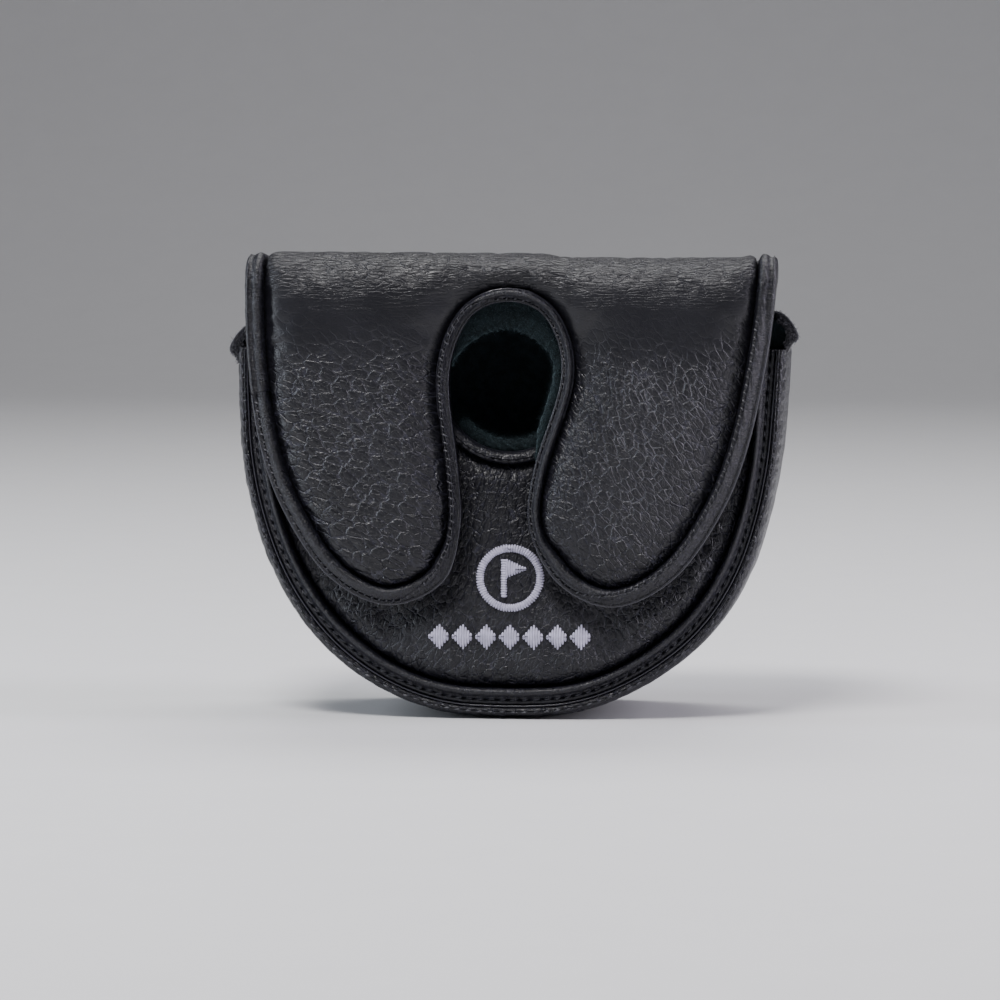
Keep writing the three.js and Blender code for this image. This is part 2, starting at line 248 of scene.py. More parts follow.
def circle(centre, radius, count):
    angles = np.linspace(0, 2 * math.pi, count, endpoint=False)
    return centre + radius * np.stack([np.cos(angles), np.sin(angles)], axis=1)


def bezier(a, b, c, d, count=60):
    t = np.linspace(0, 1, count)[:, None]
    a, b, c, d = (np.array(p, float) for p in (a, b, c, d))
    return a * (1 - t) ** 3 + 3 * b * t * (1 - t) ** 2 + 3 * c * t * t * (1 - t) + d * t ** 3


def catmull_rom(before, a, b, after, t):
    first, last = (b - before) / 2, (after - a) / 2
    cubic = 2 * a - 2 * b + first + last
    square = 3 * b - 3 * a - 2 * first - last
    return cubic * t ** 3 + square * t ** 2 + first * t + a


def spline(points, count=400):
    """A smooth curve through points."""
    p = np.array([points[0], *points, points[-1]], float)
    spans = len(points) - 1
    place = np.linspace(0, spans, count)
    i = np.minimum(place.astype(int), spans - 1)
    return catmull_rom(p[i], p[i + 1], p[i + 2], p[i + 3], (place - i)[:, None])


def round_section(corners, count):
    """A smooth closed section through a few corners."""
    p = np.array(corners, float)
    n = len(p)
    place = np.arange(count) * n / count
    i = place.astype(int)
    return catmull_rom(p[(i - 1) % n], p[i % n], p[(i + 1) % n], p[(i + 2) % n], (place - i)[:, None])


def pocket_path(top_z, step=1.0):
    """The pocket's outline as a U, from its left end at top_z, under the foot, to the right end."""
    half = bezier((FOOT_HALF, 0), (42, 0), (HALF_WIDTH, 27), (HALF_WIDTH, 69))
    right = np.vstack([half, [(HALF_WIDTH, top_z)]])
    left = (right * (-1, 1))[::-1]
    return resample(np.vstack([left, right]), step)


def mouth_path(end, step=0.8):
    """The front panel's top edge, from right to left, with its shaft notch."""
    corner = NOTCH_RADIUS + NOTCH_CORNER
    shoulder = MOUTH_Z - NOTCH_CORNER
    right = arc((corner, shoulder), NOTCH_CORNER, math.pi / 2, math.pi)
    notch = arc((0, NOTCH_BOTTOM + NOTCH_RADIUS), NOTCH_RADIUS, 0, -math.pi, 40)
    left = arc((-corner, shoulder), NOTCH_CORNER, 0, math.pi / 2)
    points = [[(end, MOUTH_Z)], right, notch, left, [(-end, MOUTH_Z)]]
    return resample(np.vstack(points), step)


def flap_path(step=0.8):
    """The flap's edge, from the middle of the top, down round both lobes, and back to the middle."""
    outer = [(62.5, FRONT_FOLD_Z), (61.4, 88), (58, 67), (52, 50), (41, 34.2)]
    lobe = [(26.8, LOBE_LOW_Z), (13.6, 33.2)]
    neck = [(8.2, 46), (8.8, 59.5)]
    keyhole = [(13.2, 82), (9, 95.6)]

    def side(sign):
        plain = [(sign * x, z) for x, z in outer + lobe]
        return plain + [(sign * x + SLOT_BIAS, z) for x, z in neck] + [(sign * x, z) for x, z in keyhole]

    points = np.array(side(-1) + [(0, 99.6)] + side(1)[::-1])
    points[:, 0] += LEAN * (FRONT_FOLD_Z - points[:, 1]) / (FRONT_FOLD_Z - LOBE_LOW_Z)
    edge = spline(points)
    over_left = [(-FLAP_HALF, V_SPLIT), (-FLAP_HALF, V_TOP), (-FLAP_HALF, V_FACE + 4)]
    over_right = [(-x, v) for x, v in reversed(over_left)]
    return resample(np.vstack([over_left, edge, over_right]), step)


def back_path(inset, bridge_inset, step=0.8):
    """The back's outline at a distance inside the pocket's, from the middle of the top and back to it."""
    pocket = offset(pocket_path(88), inset)
    under = np.stack([pocket[:, 0], back_v(pocket[:, 1])], axis=1)
    side = FLAP_HALF - bridge_inset
    left_end = [(-side, V_SPLIT), (-side, back_v(101))]
    right_end = [(side, back_v(101)), (side, V_SPLIT)]
    path = resample(np.vstack([left_end, under, right_end])[::-1], 4.0)
    return resample(spline(path, 1200), step)


# ---- Mesh objects ----

def make_object(name, points, faces, material, flat=None, crease=50):
    """A mesh object from places in millimetres, with its flat coordinates kept for its grain."""
    mesh = bpy.data.meshes.new(name)
    mesh.from_pydata((np.asarray(points) * MM).tolist(), [], [list(map(int, f)) for f in faces])
    mesh.polygons.foreach_set("use_smooth", [True] * len(mesh.polygons))
    mesh.set_sharp_from_angle(angle=math.radians(crease))
    if flat is not None:
        layer = mesh.attributes.new("flat", "FLOAT_VECTOR", "POINT")
        layer.data.foreach_set("vector", (np.asarray(flat, np.float32) * MM).ravel())
    mesh.materials.append(material)
    piece = bpy.data.objects.new(name, mesh)
    bpy.context.scene.collection.objects.link(piece)
    return piece


def closed_outward(points, faces):
    """The faces turned so that the closed mesh has its outside outside."""
    p = np.asarray(points, float)
    volume = 0.0
    for f in faces:
        for i in range(1, len(f) - 1):
            volume += p[f[0]] @ np.cross(p[f[i]], p[f[i + 1]])
    return [f[::-1] for f in faces] if volume < 0 else faces


LEATHER_CLOTH = {
    "quality": 4, "mass": 0.25, "tension_stiffness": 12, "compression_stiffness": 12, "shear_stiffness": 6,
    "bending_stiffness": 0.6, "shrink_min": -0.015,
}
CLOTH_SCALE = 5.0


def swell(places, faces, pinned, cap, pressure=4.0, frames=14):
    """Cloth simulation of a padded skin: it swells under pressure from inside, held where it is pinned.

    It runs at CLOTH_SCALE times the real size. cap is the most that it may move a point, in millimetres.
    """
    mesh = bpy.data.meshes.new("swell")
    mesh.from_pydata((places * MM * CLOTH_SCALE).tolist(), [], [list(map(int, f)) for f in faces])
    skin = bpy.data.objects.new("swell", mesh)
    scene = bpy.context.scene
    scene.collection.objects.link(skin)
    skin.vertex_groups.new(name="pin").add([int(i) for i in np.nonzero(pinned)[0]], 1.0, "REPLACE")
    cloth = skin.modifiers.new("cloth", "CLOTH")
    for key, value in LEATHER_CLOTH.items():
        setattr(cloth.settings, key, value)
    cloth.settings.effector_weights.gravity = 0
    cloth.settings.use_pressure = True
    cloth.settings.uniform_pressure_force = pressure
    cloth.settings.vertex_group_mass = "pin"
    cloth.collision_settings.use_collision = False
    cloth.point_cache.frame_start, cloth.point_cache.frame_end = 1, frames
    for number in range(1, frames + 1):
        scene.frame_set(number)
    done = skin.evaluated_get(bpy.context.evaluated_depsgraph_get())
    moved = np.empty(len(places) * 3)
    done.data.vertices.foreach_get("co", moved)
    bpy.data.objects.remove(skin)
    bpy.data.meshes.remove(mesh)
    scene.frame_set(1)
    step = moved.reshape(-1, 3) / (MM * CLOTH_SCALE) - places
    length = np.linalg.norm(step, axis=1)
    return places + step * (cap * np.tanh(length / cap) / np.maximum(length, 1e-9))[:, None]


# ---- Sewn rolls: closed sections carried along a path ----

def sweep(name, path, section, wrap, material, relief=None, width=None, taper=0, swollen=None):
    """A closed section of (inset, depth) points carried along a path and wrapped round the cover.

    relief gives how far each point moves along the section's outward normal, from its distance along
    the path and its share of the way round. width scales the insets station by station. taper rounds
    off the ends over that many millimetres. swollen is the most that the cloth simulation may add.
    """
    stations, count = len(path), len(section)
    s = lengths_along(path)
    girth = lengths_along(section)
    around = np.roll(section, -1, axis=0) - np.roll(section, 1, axis=0)
    around /= np.linalg.norm(around, axis=1)[:, None]
    outward = np.stack([around[:, 1], -around[:, 0]], axis=1)
    middle = section.mean(axis=0)
    if ((section - middle) * outward).sum() < 0:
        outward = -outward
    sections = np.broadcast_to(section, (stations, count, 2)).copy()
    if relief is not None:
        amount = relief(s[:, None], np.arange(count)[None, :] / count)
        sections += outward[None] * amount[..., None]
    if taper:
        near = np.minimum(s, s[-1] - s)
        shrink = np.sqrt(1 - (1 - np.clip(near / taper, 0.02, 1)) ** 2)
        sections = middle + (sections - middle) * shrink[:, None, None]
    if width is not None:
        sections[..., 0] *= width[:, None]
    flat = path[:, None, :] + left_normals(path)[:, None, :] * sections[..., :1]
    places = wrap(flat[..., 0], flat[..., 1], sections[..., 1]).reshape(-1, 3)
    grain = np.stack(np.broadcast_arrays(s[:, None], girth[None, :], 0.0), axis=-1).reshape(-1, 3)
    k, j = np.meshgrid(np.arange(stations - 1) * count, np.arange(count), indexing="ij")
    a, b = (k + j).ravel(), (k + (j + 1) % count).ravel()
    faces = np.stack([a, b, b + count, a + count], axis=1).tolist()
    faces.append(list(range(count))[::-1])
    faces.append(list(range((stations - 1) * count, stations * count)))
    faces = closed_outward(places, faces)
    if swollen:
        held = np.tile(section[:, 0] > swollen[0], stations)
        held[:count] = held[-count:] = True
        places = swell(places, faces, held, swollen[1])
    return make_object(name, sway(places), faces, material, grain)


def share_at(section, inset, deepest=3.0):
    """The share of the way round a section where its outer side has a given inset."""
    gap = np.abs(section[:, 0] - inset) + np.where(section[:, 1] > deepest, 99, 0)
    return gap.argmin() / len(section)


def depth_at(section, inset, deepest=3.0):
    """The depth of a section's outer side at a given inset."""
    return section[round(share_at(section, inset, deepest) * len(section))][1]


def wavy(s, seed, wave):
    """Uneven ripples along a seam, between about -1 and 1, with the given usual spacing."""
    total = 0
    for i, (ratio, share) in enumerate(((1.0, 0.5), (1.63, 0.3), (2.71, 0.2))):
        drift = 1.3 * np.sin(s / (9 + 4 * i) + seed)
        total = total + share * np.sin(2 * math.pi * s * ratio / wave + seed * (1.7 + i) + drift)
    return total


def lumpy(height, seed, wave):
    """A relief of soft lumps all round a swept section."""
    return lambda s, share: height * wavy(s + 3 * np.cos(2 * math.pi * share), seed, wave)


def stitch_dents(s, share, centre, pitch, depth, width):
    """Dents where the stitches go in, and the puffs between them, along one line of a section."""
    hole = np.sin(math.pi * (s - 2.0) / pitch) ** 4
    gap = (share - centre + 0.5) % 1 - 0.5
    line = np.exp(-(gap / width) ** 2)
    beside = np.exp(-((np.abs(gap) - 2.2 * width) / width) ** 2)
    return -depth * (0.45 + 0.55 * hole) * line + 0.35 * depth * (1 - hole) * beside


# ---- Padded panels: crowned skins over an outline ----

def distances(points, edge):
    """Each point's distance to an edge, and how far along the edge it is nearest to."""
    s = lengths_along(edge)
    gap, place = np.empty(len(points)), np.empty(len(points))
    for start in range(0, len(points), 2000):
        part = points[start:start + 2000]
        span = np.linalg.norm(part[:, None] - edge[None], axis=2)
        nearest = span.argmin(axis=1)
        gap[start:start + 2000] = span[np.arange(len(part)), nearest]
        place[start:start + 2000] = s[nearest]
    return gap, place


def fill_outline(rim, closing, step):
    """Points and triangles that fill the outline made of a rim and a closing line, finer at the rim."""
    outline = np.vstack([rim, closing])
    rings = [0.35, 0.8, 1.4, 2.2, 3.2]
    clouds = []
    for distance in rings:
        ring = offset(rim, distance)[:: 1 if distance < 1 else 2]
        gap, _ = distances(ring, rim)
        clouds.append(ring[gap > distance * 0.97])
    low, high = outline.min(axis=0), outline.max(axis=0)
    rows = np.arange(low[1], high[1], step * 0.87)
    columns = np.arange(low[0], high[0], step)
    grid = np.array([(x + step / 2 * (i % 2), v) for i, v in enumerate(rows) for x in columns])
    grid = grid + rng.uniform(-0.12, 0.12, grid.shape) * step
    gap, _ = distances(grid, rim)
    grid = grid[gap > rings[-1] + step * 0.5]
    if len(closing):
        grid = grid[distances(grid, closing)[0] > step * 0.6]
    points = np.vstack([outline, *clouds, grid])
    loop = [(i, (i + 1) % len(outline)) for i in range(len(outline))]
    verts, _, faces, *_ = delaunay_2d_cdt([Vector(p) for p in points], loop, [], 1, 1e-5)
    faces = np.array([tuple(f) for f in faces])
    used, faces = np.unique(faces, return_inverse=True)
    return np.array([tuple(v) for v in verts])[used], faces.reshape(-1, 3)


def closing_line(rim, step=1.3):
    """Points from a rim's end back to its start, without those two."""
    return resample(np.array([rim[-1], rim[0]]), step)[1:-1]


def pad(name, rim, closing, wrap, depth_of, back_depth, material, step=1.3, held=None, cap=0):
    """A closed padded form: a crowned skin over an outline, with a plain back.

    depth_of gives the skin's depth from the flat points, their distance to the rim and their place
    along it. held marks the flat points that the cloth simulation must not move, and cap is the most
    that it may move the others.
    """
    flat, faces = fill_outline(rim, closing, step)
    gap, place = distances(flat, rim)
    skin = wrap(flat[:, 0], flat[:, 1], depth_of(flat, gap, place))
    if cap:
        pinned = gap < 0.6
        if held is not None:
            pinned |= held(flat)
        skin = swell(skin, faces, pinned, cap)
    back = wrap(flat[:, 0], flat[:, 1], back_depth(flat) if callable(back_depth) else back_depth)
    count = len(flat)
    sides = np.vstack([faces[:, [0, 1]], faces[:, [1, 2]], faces[:, [2, 0]]])
    known = {(a, b) for a, b in sides.tolist()}
    border = [(a, b) for a, b in sides.tolist() if (b, a) not in known]
    shell = faces.tolist() + (faces[:, ::-1] + count).tolist()
    shell += [[b, a, a + count, b + count] for a, b in border]
    places = sway(np.vstack([skin, back]))
    grain = np.vstack([np.column_stack([flat, np.full(count, side)]) for side in (0.0, 9.0)])
    return make_object(name, places, closed_outward(places, shell), material, grain)


# ---- Threads and fibres ----

def tubes(name, lines, radii, material, sides=6):
    """One object from many short tubes. lines holds a row of centres for each tube."""
    lines = np.asarray(lines, float)
    count, stations = lines.shape[:2]
    along = np.gradient(lines, axis=1)
    along /= np.linalg.norm(along, axis=2)[..., None]
    up = np.where(np.abs(along[:, :1, 2:]) < 0.8, [0.0, 0.0, 1.0], [1.0, 0.0, 0.0])
    side = np.cross(along, up)
    side /= np.linalg.norm(side, axis=2)[..., None]
    lift = np.cross(side, along)
    angle = np.linspace(0, 2 * math.pi, sides, endpoint=False)[None, None, :, None]
    ring = side[:, :, None] * np.cos(angle) + lift[:, :, None] * np.sin(angle)
    points = (lines[:, :, None] + ring * np.reshape(radii, (1, stations, 1, 1))).reshape(-1, 3)
    one = [list(range(sides))]
    for k in range(stations - 1):
        for j in range(sides):
            a, b = k * sides + j, k * sides + (j + 1) % sides
            one.append([b, a, a + sides, b + sides])
    one.append(list(range((stations - 1) * sides, stations * sides))[::-1])
    faces = [[i + t * stations * sides for i in f] for t in range(count) for f in one]
    return make_object(name, points, faces, material)


STITCH_ROUND = np.array([0.5, 0.95, 1.05, 1.05, 0.95, 0.5])


def stitch_row(name, path, inset, depth, wrap, material, pitch, length, radius, slant=0.0):
    """Sewn stitches along a path, each a short thread whose ends dive into the leather."""
    s, normals = lengths_along(path), left_normals(path)
    inset, depth = np.broadcast_to(inset, len(path)), np.broadcast_to(depth, len(path))
    share = np.linspace(-0.5, 0.5, len(STITCH_ROUND))
    lines = []
    for centre in np.arange(2.0, s[-1] - 1.0, pitch):
        place = centre + share * length * rng.uniform(0.92, 1.08)
        point = np.stack([np.interp(place, s, path[:, i]) for i in (0, 1)], axis=1)
        normal = np.stack([np.interp(place, s, normals[:, i]) for i in (0, 1)], axis=1)
        across = np.interp(place, s, inset) + slant * share + rng.uniform(-0.07, 0.07)
        point = point + normal * across[:, None]
        dive = np.interp(place, s, depth) + 1.7 * radius * (2 * np.abs(share)) ** 3 + rng.uniform(-0.04, 0.04)
        lines.append(sway(wrap(point[:, 0], point[:, 1], dive)))
    return tubes(name, lines, radius * STITCH_ROUND, material)


def surface_samples(piece, count, keep):
    """Random places and normals, in millimetres, on the part of a piece that keep picks."""
    mesh = piece.data
    size = len(mesh.polygons)
    centre, normal, area = np.empty(size * 3), np.empty(size * 3), np.empty(size)
    mesh.polygons.foreach_get("center", centre)
    mesh.polygons.foreach_get("normal", normal)
    mesh.polygons.foreach_get("area", area)
    centre, normal = centre.reshape(-1, 3) / MM, normal.reshape(-1, 3)
    wanted = area * keep(centre, normal)
    wanted[area > area.mean() * 60] = 0
    picked = rng.choice(size, count, p=wanted / wanted.sum())
    normal = normal[picked]
    spread = np.sqrt(area[picked])[:, None] / MM * 0.5 * (1 - np.abs(normal))
    return centre[picked] + rng.uniform(-1, 1, (count, 3)) * spread, normal


def fuzz(name, roots, normals, length, radius, material, lean=0.6, droop=(0, 0, 0)):
    """Short curved fibres standing on a surface."""
    count = len(roots)
    aim = normals + rng.normal(0, lean, (count, 3)) + np.array(droop)
    aim /= np.linalg.norm(aim, axis=1)[:, None]
    bend = rng.normal(0, 0.35, (count, 3))
    reach = length * rng.uniform(0.55, 1.15, (count, 1))
    share = np.array([0.0, 0.5, 1.0])[None, :, None]
    lines = roots[:, None] - 0.15 * normals[:, None]
    lines = lines + (aim[:, None] * share + bend[:, None] * share ** 2) * reach[:, None]
    return tubes(name, lines, radius * np.array([1.0, 0.8, 0.15]), material, sides=3)


# ---- Materials ----

class Nodes:
    """Short calls that build one material's node tree."""

    def __init__(self, name):
        self.material = bpy.data.materials.new(name)
        self.material.use_nodes = True
        self.tree = self.material.node_tree
        self.shader = self.tree.nodes.new("ShaderNodeBsdfPrincipled")
        output = self.tree.nodes.new("ShaderNodeOutputMaterial")
        for old in [n for n in self.tree.nodes if n not in (self.shader, output)]:
            self.tree.nodes.remove(old)
        self.tree.links.new(self.shader.outputs[0], output.inputs[0])

    def add(self, kind, inputs=None, **settings):
        node = self.tree.nodes.new("ShaderNode" + kind)
        for key, value in settings.items():
            setattr(node, key, value)
        for key, value in (inputs or {}).items():
            self.put(node.inputs[key], value)
        return node

    def places(self):
        return self.add("TexCoord").outputs["Object"]

    def put(self, socket, value):
        if isinstance(value, bpy.types.NodeSocket):
            self.tree.links.new(value, socket)
        else:
            socket.default_value = value

    def math(self, operation, a, b=0.0):
        return self.add("Math", {0: a, 1: b}, operation=operation).outputs[0]

    def vector(self, operation, a, b):
        key = "Scale" if operation == "SCALE" else 1
        return self.add("VectorMath", {0: a, key: b}, operation=operation).outputs[0]

    def range(self, value, low, high, to_low=0.0, to_high=1.0):
        inputs = {"Value": value, "From Min": low, "From Max": high, "To Min": to_low, "To Max": to_high}
        return self.add("MapRange", inputs, interpolation_type="SMOOTHSTEP").outputs["Result"]

    def mix(self, factor, a, b):
        return self.add("Mix", {0: factor, 6: a, 7: b}, data_type="RGBA").outputs[2]

    def blend(self, factor, a, b):
        return self.add("Mix", {0: factor, 2: a, 3: b}, data_type="FLOAT").outputs[0]

    def noise(self, vector, scale, detail=3.0, rough=0.55):
        inputs = {"Vector": vector, "Scale": scale, "Detail": detail, "Roughness": rough}
        return self.add("TexNoise", inputs).outputs["Fac"]

    def mapped(self, vector, stretch, angle):
        """A vector turned by an angle and then stretched."""
        turned = self.add("Mapping", {"Vector": vector, "Rotation": (0, 0, angle)}).outputs["Vector"]
        return self.add("Mapping", {"Vector": turned, "Scale": (*stretch, 1.0)}).outputs["Vector"]

    def bump(self, height, distance):
        inputs = {"Strength": 1.0, "Distance": distance * MM, "Height": height}
        return self.add("Bump", inputs).outputs["Normal"]

    def set(self, **values):
        for key, value in values.items():
            self.put(self.shader.inputs[key.replace("_", " ")], value)


def shade(colour, factor):
    return (*(c * factor for c in colour), 1)


def pebbles(n, base, cell, stretch, angle):
    """Height of leather pebbles and strength of their creases: an uneven net of cells, some left open."""
    place = n.mapped(base, stretch, angle)
    wander = n.add("TexNoise", {"Vector": place, "Scale": 0.45 / (cell * MM), "Detail": 2.0}).outputs["Color"]
    shift = n.vector("SCALE", n.vector("SUBTRACT", wander, (0.5, 0.5, 0.5)), cell * MM * 0.55)
    jagged = n.add("TexNoise", {"Vector": place, "Scale": 2.6 / (cell * MM), "Detail": 2.0}).outputs["Color"]
    jolt = n.vector("SCALE", n.vector("SUBTRACT", jagged, (0.5, 0.5, 0.5)), cell * MM * 0.20)
    bent = n.vector("ADD", n.vector("ADD", place, shift), jolt)
    edges = {"Vector": bent, "Scale": 1 / (cell * MM), "Randomness": 0.8}
    big = n.add("TexVoronoi", edges, feature="DISTANCE_TO_EDGE").outputs["Distance"]
    fine_edges = {**edges, "Scale": 2.1 / (cell * MM)}
    small = n.add("TexVoronoi", fine_edges, feature="DISTANCE_TO_EDGE").outputs["Distance"]
    change = n.range(n.noise(place, 0.4 / (cell * MM), 2.0), 0.34, 0.56, 0.30, 1.0)
    crease = n.math("MULTIPLY", n.range(big, 0.10, 0.0), change)
    fine = n.math("MULTIPLY", n.range(small, 0.12, 0.0), 0.26)
    dome = n.math("MULTIPLY", n.range(big, 0.0, 0.42), 0.55)
    return n.math("SUBTRACT", dome, n.math("ADD", n.math("MULTIPLY", crease, 0.95), fine)), crease


def leather_material(name, colour, left, right=None, height=0.30, rough=0.36, top=False):
    """Pebbled leather whose crease lines carry a painted highlight. left and right are (cell, stretch, angle)
    of the grain on each side.

    top adds the fine stretched rows over the front fold, and the smooth band under them.
    """
    n = Nodes(name)
    base = n.add("Attribute", attribute_name="flat").outputs["Vector"]
    places = n.add("SeparateXYZ", {0: base}).outputs
    total, crease = pebbles(n, base, *left)
    if right:
        across = n.range(places[0], -4 * MM, 30 * MM)
        other, other_crease = pebbles(n, base, *right)
        total = n.blend(across, total, other)
        crease = n.blend(across, crease, other_crease)
    if top:
        rows, row_crease = pebbles(n, base, 1.5, (0.42, 1.8), 0.0)
        drift = n.math("MULTIPLY", n.noise(base, 60.0, 2.0), 10 * MM)
        up = n.math("ADD", n.math("SUBTRACT", places[1], 4 * MM), drift)
        over_front, over_rear = n.range(up, 95 * MM, 101 * MM), n.range(places[1], 132 * MM, 118 * MM)
        over = n.math("MULTIPLY", over_front, over_rear)
        calm = n.math("MULTIPLY", n.range(up, 76 * MM, 95 * MM), n.range(up, 114 * MM, 100 * MM))
        keep = n.math("SUBTRACT", 1.0, n.math("MULTIPLY", calm, 0.90))
        total = n.math("MULTIPLY", n.blend(over, total, rows), keep)
        # The rows' creases carry a weaker painted highlight, and a smaller drop in roughness.
        row_shine = n.math("MULTIPLY", row_crease, 0.4)
        crease = n.math("MULTIPLY", n.blend(over, crease, row_shine), keep)
    pores = n.noise(base, 2400.0, 2.0, 0.7)
    total = n.math("ADD", total, n.math("MULTIPLY", pores, 0.16))
    tone = n.range(n.noise(base, 42.0, 3.0), 0.3, 0.7)
    skin = n.mix(tone, shade(colour, 0.85), shade(colour, 1.25))
    rub = n.range(n.add("NewGeometry").outputs["Pointiness"], 0.52, 0.64, 0.0, 0.35)
    skin = n.mix(rub, skin, shade(colour, 2.4))
    # Painted highlight: the crease lines, broken up by fine noise, are mixed towards a much lighter colour in
    # place of light caught on the crease lips.
    broken_highlight = n.range(n.noise(base, 900.0, 2.0, 0.7), 0.36, 0.56)
    skin = n.mix(n.math("MULTIPLY", crease, broken_highlight), skin, shade(colour, CREASE_PAINTED_HIGHLIGHT))
    gloss = n.math("ADD", n.math("MULTIPLY", pores, 0.14), rough - 0.07)
    gloss = n.math("ADD", gloss, n.math("MULTIPLY", tone, 0.06))
    gloss = n.math("SUBTRACT", gloss, n.math("MULTIPLY", crease, 0.1))
    n.set(Base_Color=skin, Roughness=gloss, Normal=n.bump(total, height))
    n.set(Specular_IOR_Level=0.40)
    return n.material


def paint_material(name, colour):
    n = Nodes(name)
    place = n.places()
    wear = n.noise(place, 900.0, 2.0)
    n.set(Base_Color=n.mix(wear, shade(colour, 0.8), shade(colour, 1.3)))
    n.set(Roughness=n.math("ADD", n.math("MULTIPLY", wear, 0.15), 0.16), Normal=n.bump(wear, 0.03))
    n.set(Coat_Weight=0.4, Coat_Roughness=0.15)
    return n.material


def plush_material(name, colour):
    n = Nodes(name)
    place = n.places()
    clump = n.noise(place, 420.0, 4.0, 0.7)
    fibre = n.noise(place, 2400.0, 2.0, 0.8)
    total = n.math("ADD", clump, n.math("MULTIPLY", fibre, 0.5))
    tint = n.mix(n.range(clump, 0.35, 0.7), shade(colour, 1), shade(colour, 2.6))
    n.set(Base_Color=tint, Roughness=0.95, Normal=n.bump(total, 0.7))
    n.set(Specular_IOR_Level=0.2, Sheen_Weight=0.30, Sheen_Roughness=0.45, Sheen_Tint=(0.50, 0.75, 0.85, 1))
    return n.material


def thread_material(name, colour, rough, sheen):
    n = Nodes(name)
    place = n.places()
    twist = n.noise(place, 5200.0, 1.0, 0.5)
    tone = n.range(n.noise(place, 700.0, 2.0), 0.3, 0.7)
    n.set(Base_Color=n.mix(tone, shade(colour, 0.78), shade(colour, 1)))
    n.set(Roughness=n.math("ADD", n.math("MULTIPLY", twist, 0.2), rough), Normal=n.bump(twist, 0.05))
    n.set(Sheen_Weight=sheen, Sheen_Roughness=0.4)
    return n.material


def fibre_fill_material(name, colour):
    n = Nodes(name)
    place = n.places()
    strand = n.noise(place, 900.0, 4.0, 0.7)
    tint = n.mix(strand, shade(colour, 0.6), shade(colour, 1))
    n.set(Base_Color=tint, Roughness=0.95, Normal=n.bump(strand, 0.4))
    return n.material


def steel_material(name):
    n = Nodes(name)
    place = n.places()
    brush = n.noise(n.mapped(place, (200, 200), 0), 30.0, 2.0)
    n.set(Base_Color=(0.55, 0.56, 0.58, 1), Metallic=1.0)
    n.set(Roughness=n.math("ADD", n.math("MULTIPLY", brush, 0.25), 0.22))
    return n.material


def floor_material(name):
    n = Nodes(name)
    place = n.places()
    grain = n.noise(place, 60.0, 3.0)
    n.set(Base_Color=n.mix(grain, (0.60, 0.60, 0.61, 1), (0.63, 0.63, 0.64, 1)), Roughness=0.55)
    return n.material


BLACK = (0.0060, 0.0060, 0.0090)
GRAIN_STRETCH = (0.66, 1.15)
# How much lighter the painted highlight makes the leather's crease lines.
CREASE_PAINTED_HIGHLIGHT = 4.2
flap_leather = leather_material(
    "flap_leather_grain", BLACK, (2.5, GRAIN_STRETCH, 0.45), (1.9, GRAIN_STRETCH, 0.95), top=True)
panel_leather = leather_material(
    "panel_leather_grain", BLACK, (1.8, GRAIN_STRETCH, -1.13), (1.8, GRAIN_STRETCH, 1.13))
gusset_leather = leather_material("gusset_leather_grain", BLACK, (1.8, (0.9, 1.15), 0.0), height=0.18)
edge_leather = leather_material("edge_leather_grain", BLACK, (0.9, (1.3, 0.7), 0.0), height=0.07, rough=0.34)
edge_paint = paint_material("edge_paint", (0.030, 0.030, 0.040))
plush = plush_material("teal_black_plush", (0.005, 0.0085, 0.0100))
pale_thread = thread_material("pale_embroidery_thread", (0.56, 0.54, 0.70), 0.40, 0.2)
black_thread = thread_material("black_sewing_thread", (0.050, 0.050, 0.062), 0.36, 0.1)
cord_fill = fibre_fill_material("cord_fill", (0.10, 0.09, 0.08))
steel = steel_material("catch_steel")


# ---- The flap and the back: crowned leather over padding ----

LOBE_CROWN, TOP_CROWN, BACK_CROWN = 4.5, 3.2, 4.0
GROOVE = 3.0
UNDERSIDE = 4.7
SHOULDER = 1.5
PUCKER = 0.24
SLACK = 0.16
FREE_PLAY = 0.9


def crown_height(v):
    """How far the padding lifts the leather from the bottom of its groove, over the flat height."""
    lobes = LOBE_CROWN - 0.8 * smooth(72, 100, v)
    front = lobes + (TOP_CROWN - lobes) * smooth(92, V_FACE + 4, v)
    return front + (BACK_CROWN - front) * smooth(V_BACK + 4, V_BACK + 26, v)


def skin_depth(seed):
    """Depth of a padded skin: low in its groove, crowned inside, puckered near its seam."""
    def depth_of(flat, gap, place):
        x, v = flat.T
        away = smooth(1, 12, np.abs(v - V_SPLIT))
        over = smooth(V_FACE, V_FACE + 6, v) * smooth(V_BACK, V_BACK - 10, v)
        right = smooth(2, 26, x) * smooth(100, 90, v)
        left = smooth(-36, -52, x) * smooth(74, 86, v)
        reach = SHOULDER - 0.7 * over + 1.2 * right + 0.6 * left * (1 - over)
        rise = crown_height(v) * (1 - np.exp(-gap / reach))
        pucker = PUCKER * wavy(place, seed, 6.5) * np.exp(-((gap - 1.3) / 2.4) ** 2)
        slack = SLACK * np.sin(x / 9 + seed) * np.cos(v / 7.5 + seed) * smooth(2, 9, gap)
        return GROOVE - rise - (pucker + slack) * away
    return depth_of


def near_split(flat):
    return np.abs(flat[:, 1] - V_SPLIT) < 9


def border_width(path):
    """The flap border's width: wide outside, narrow along the slot and keyhole."""
    slot = (np.abs(path[:, 0] - LEAN / 2) < 19) & (path[:, 1] < 103) & (path[:, 1] > 40)
    target = np.where(slot, SLOT_ROLL_WIDTH, ROLL_WIDTH)
    reach = round(5.0 / np.linalg.norm(path[1] - path[0]))
    kernel = np.hanning(2 * reach + 3)
    padded = np.pad(target, reach + 1, mode="edge")
    return np.convolve(padded, kernel / kernel.sum(), mode="valid")


def fold_front(piece):
    """Bakes the piece's transform into its mesh, for the flap's pieces from the top strip to the lobes."""
    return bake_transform(piece)


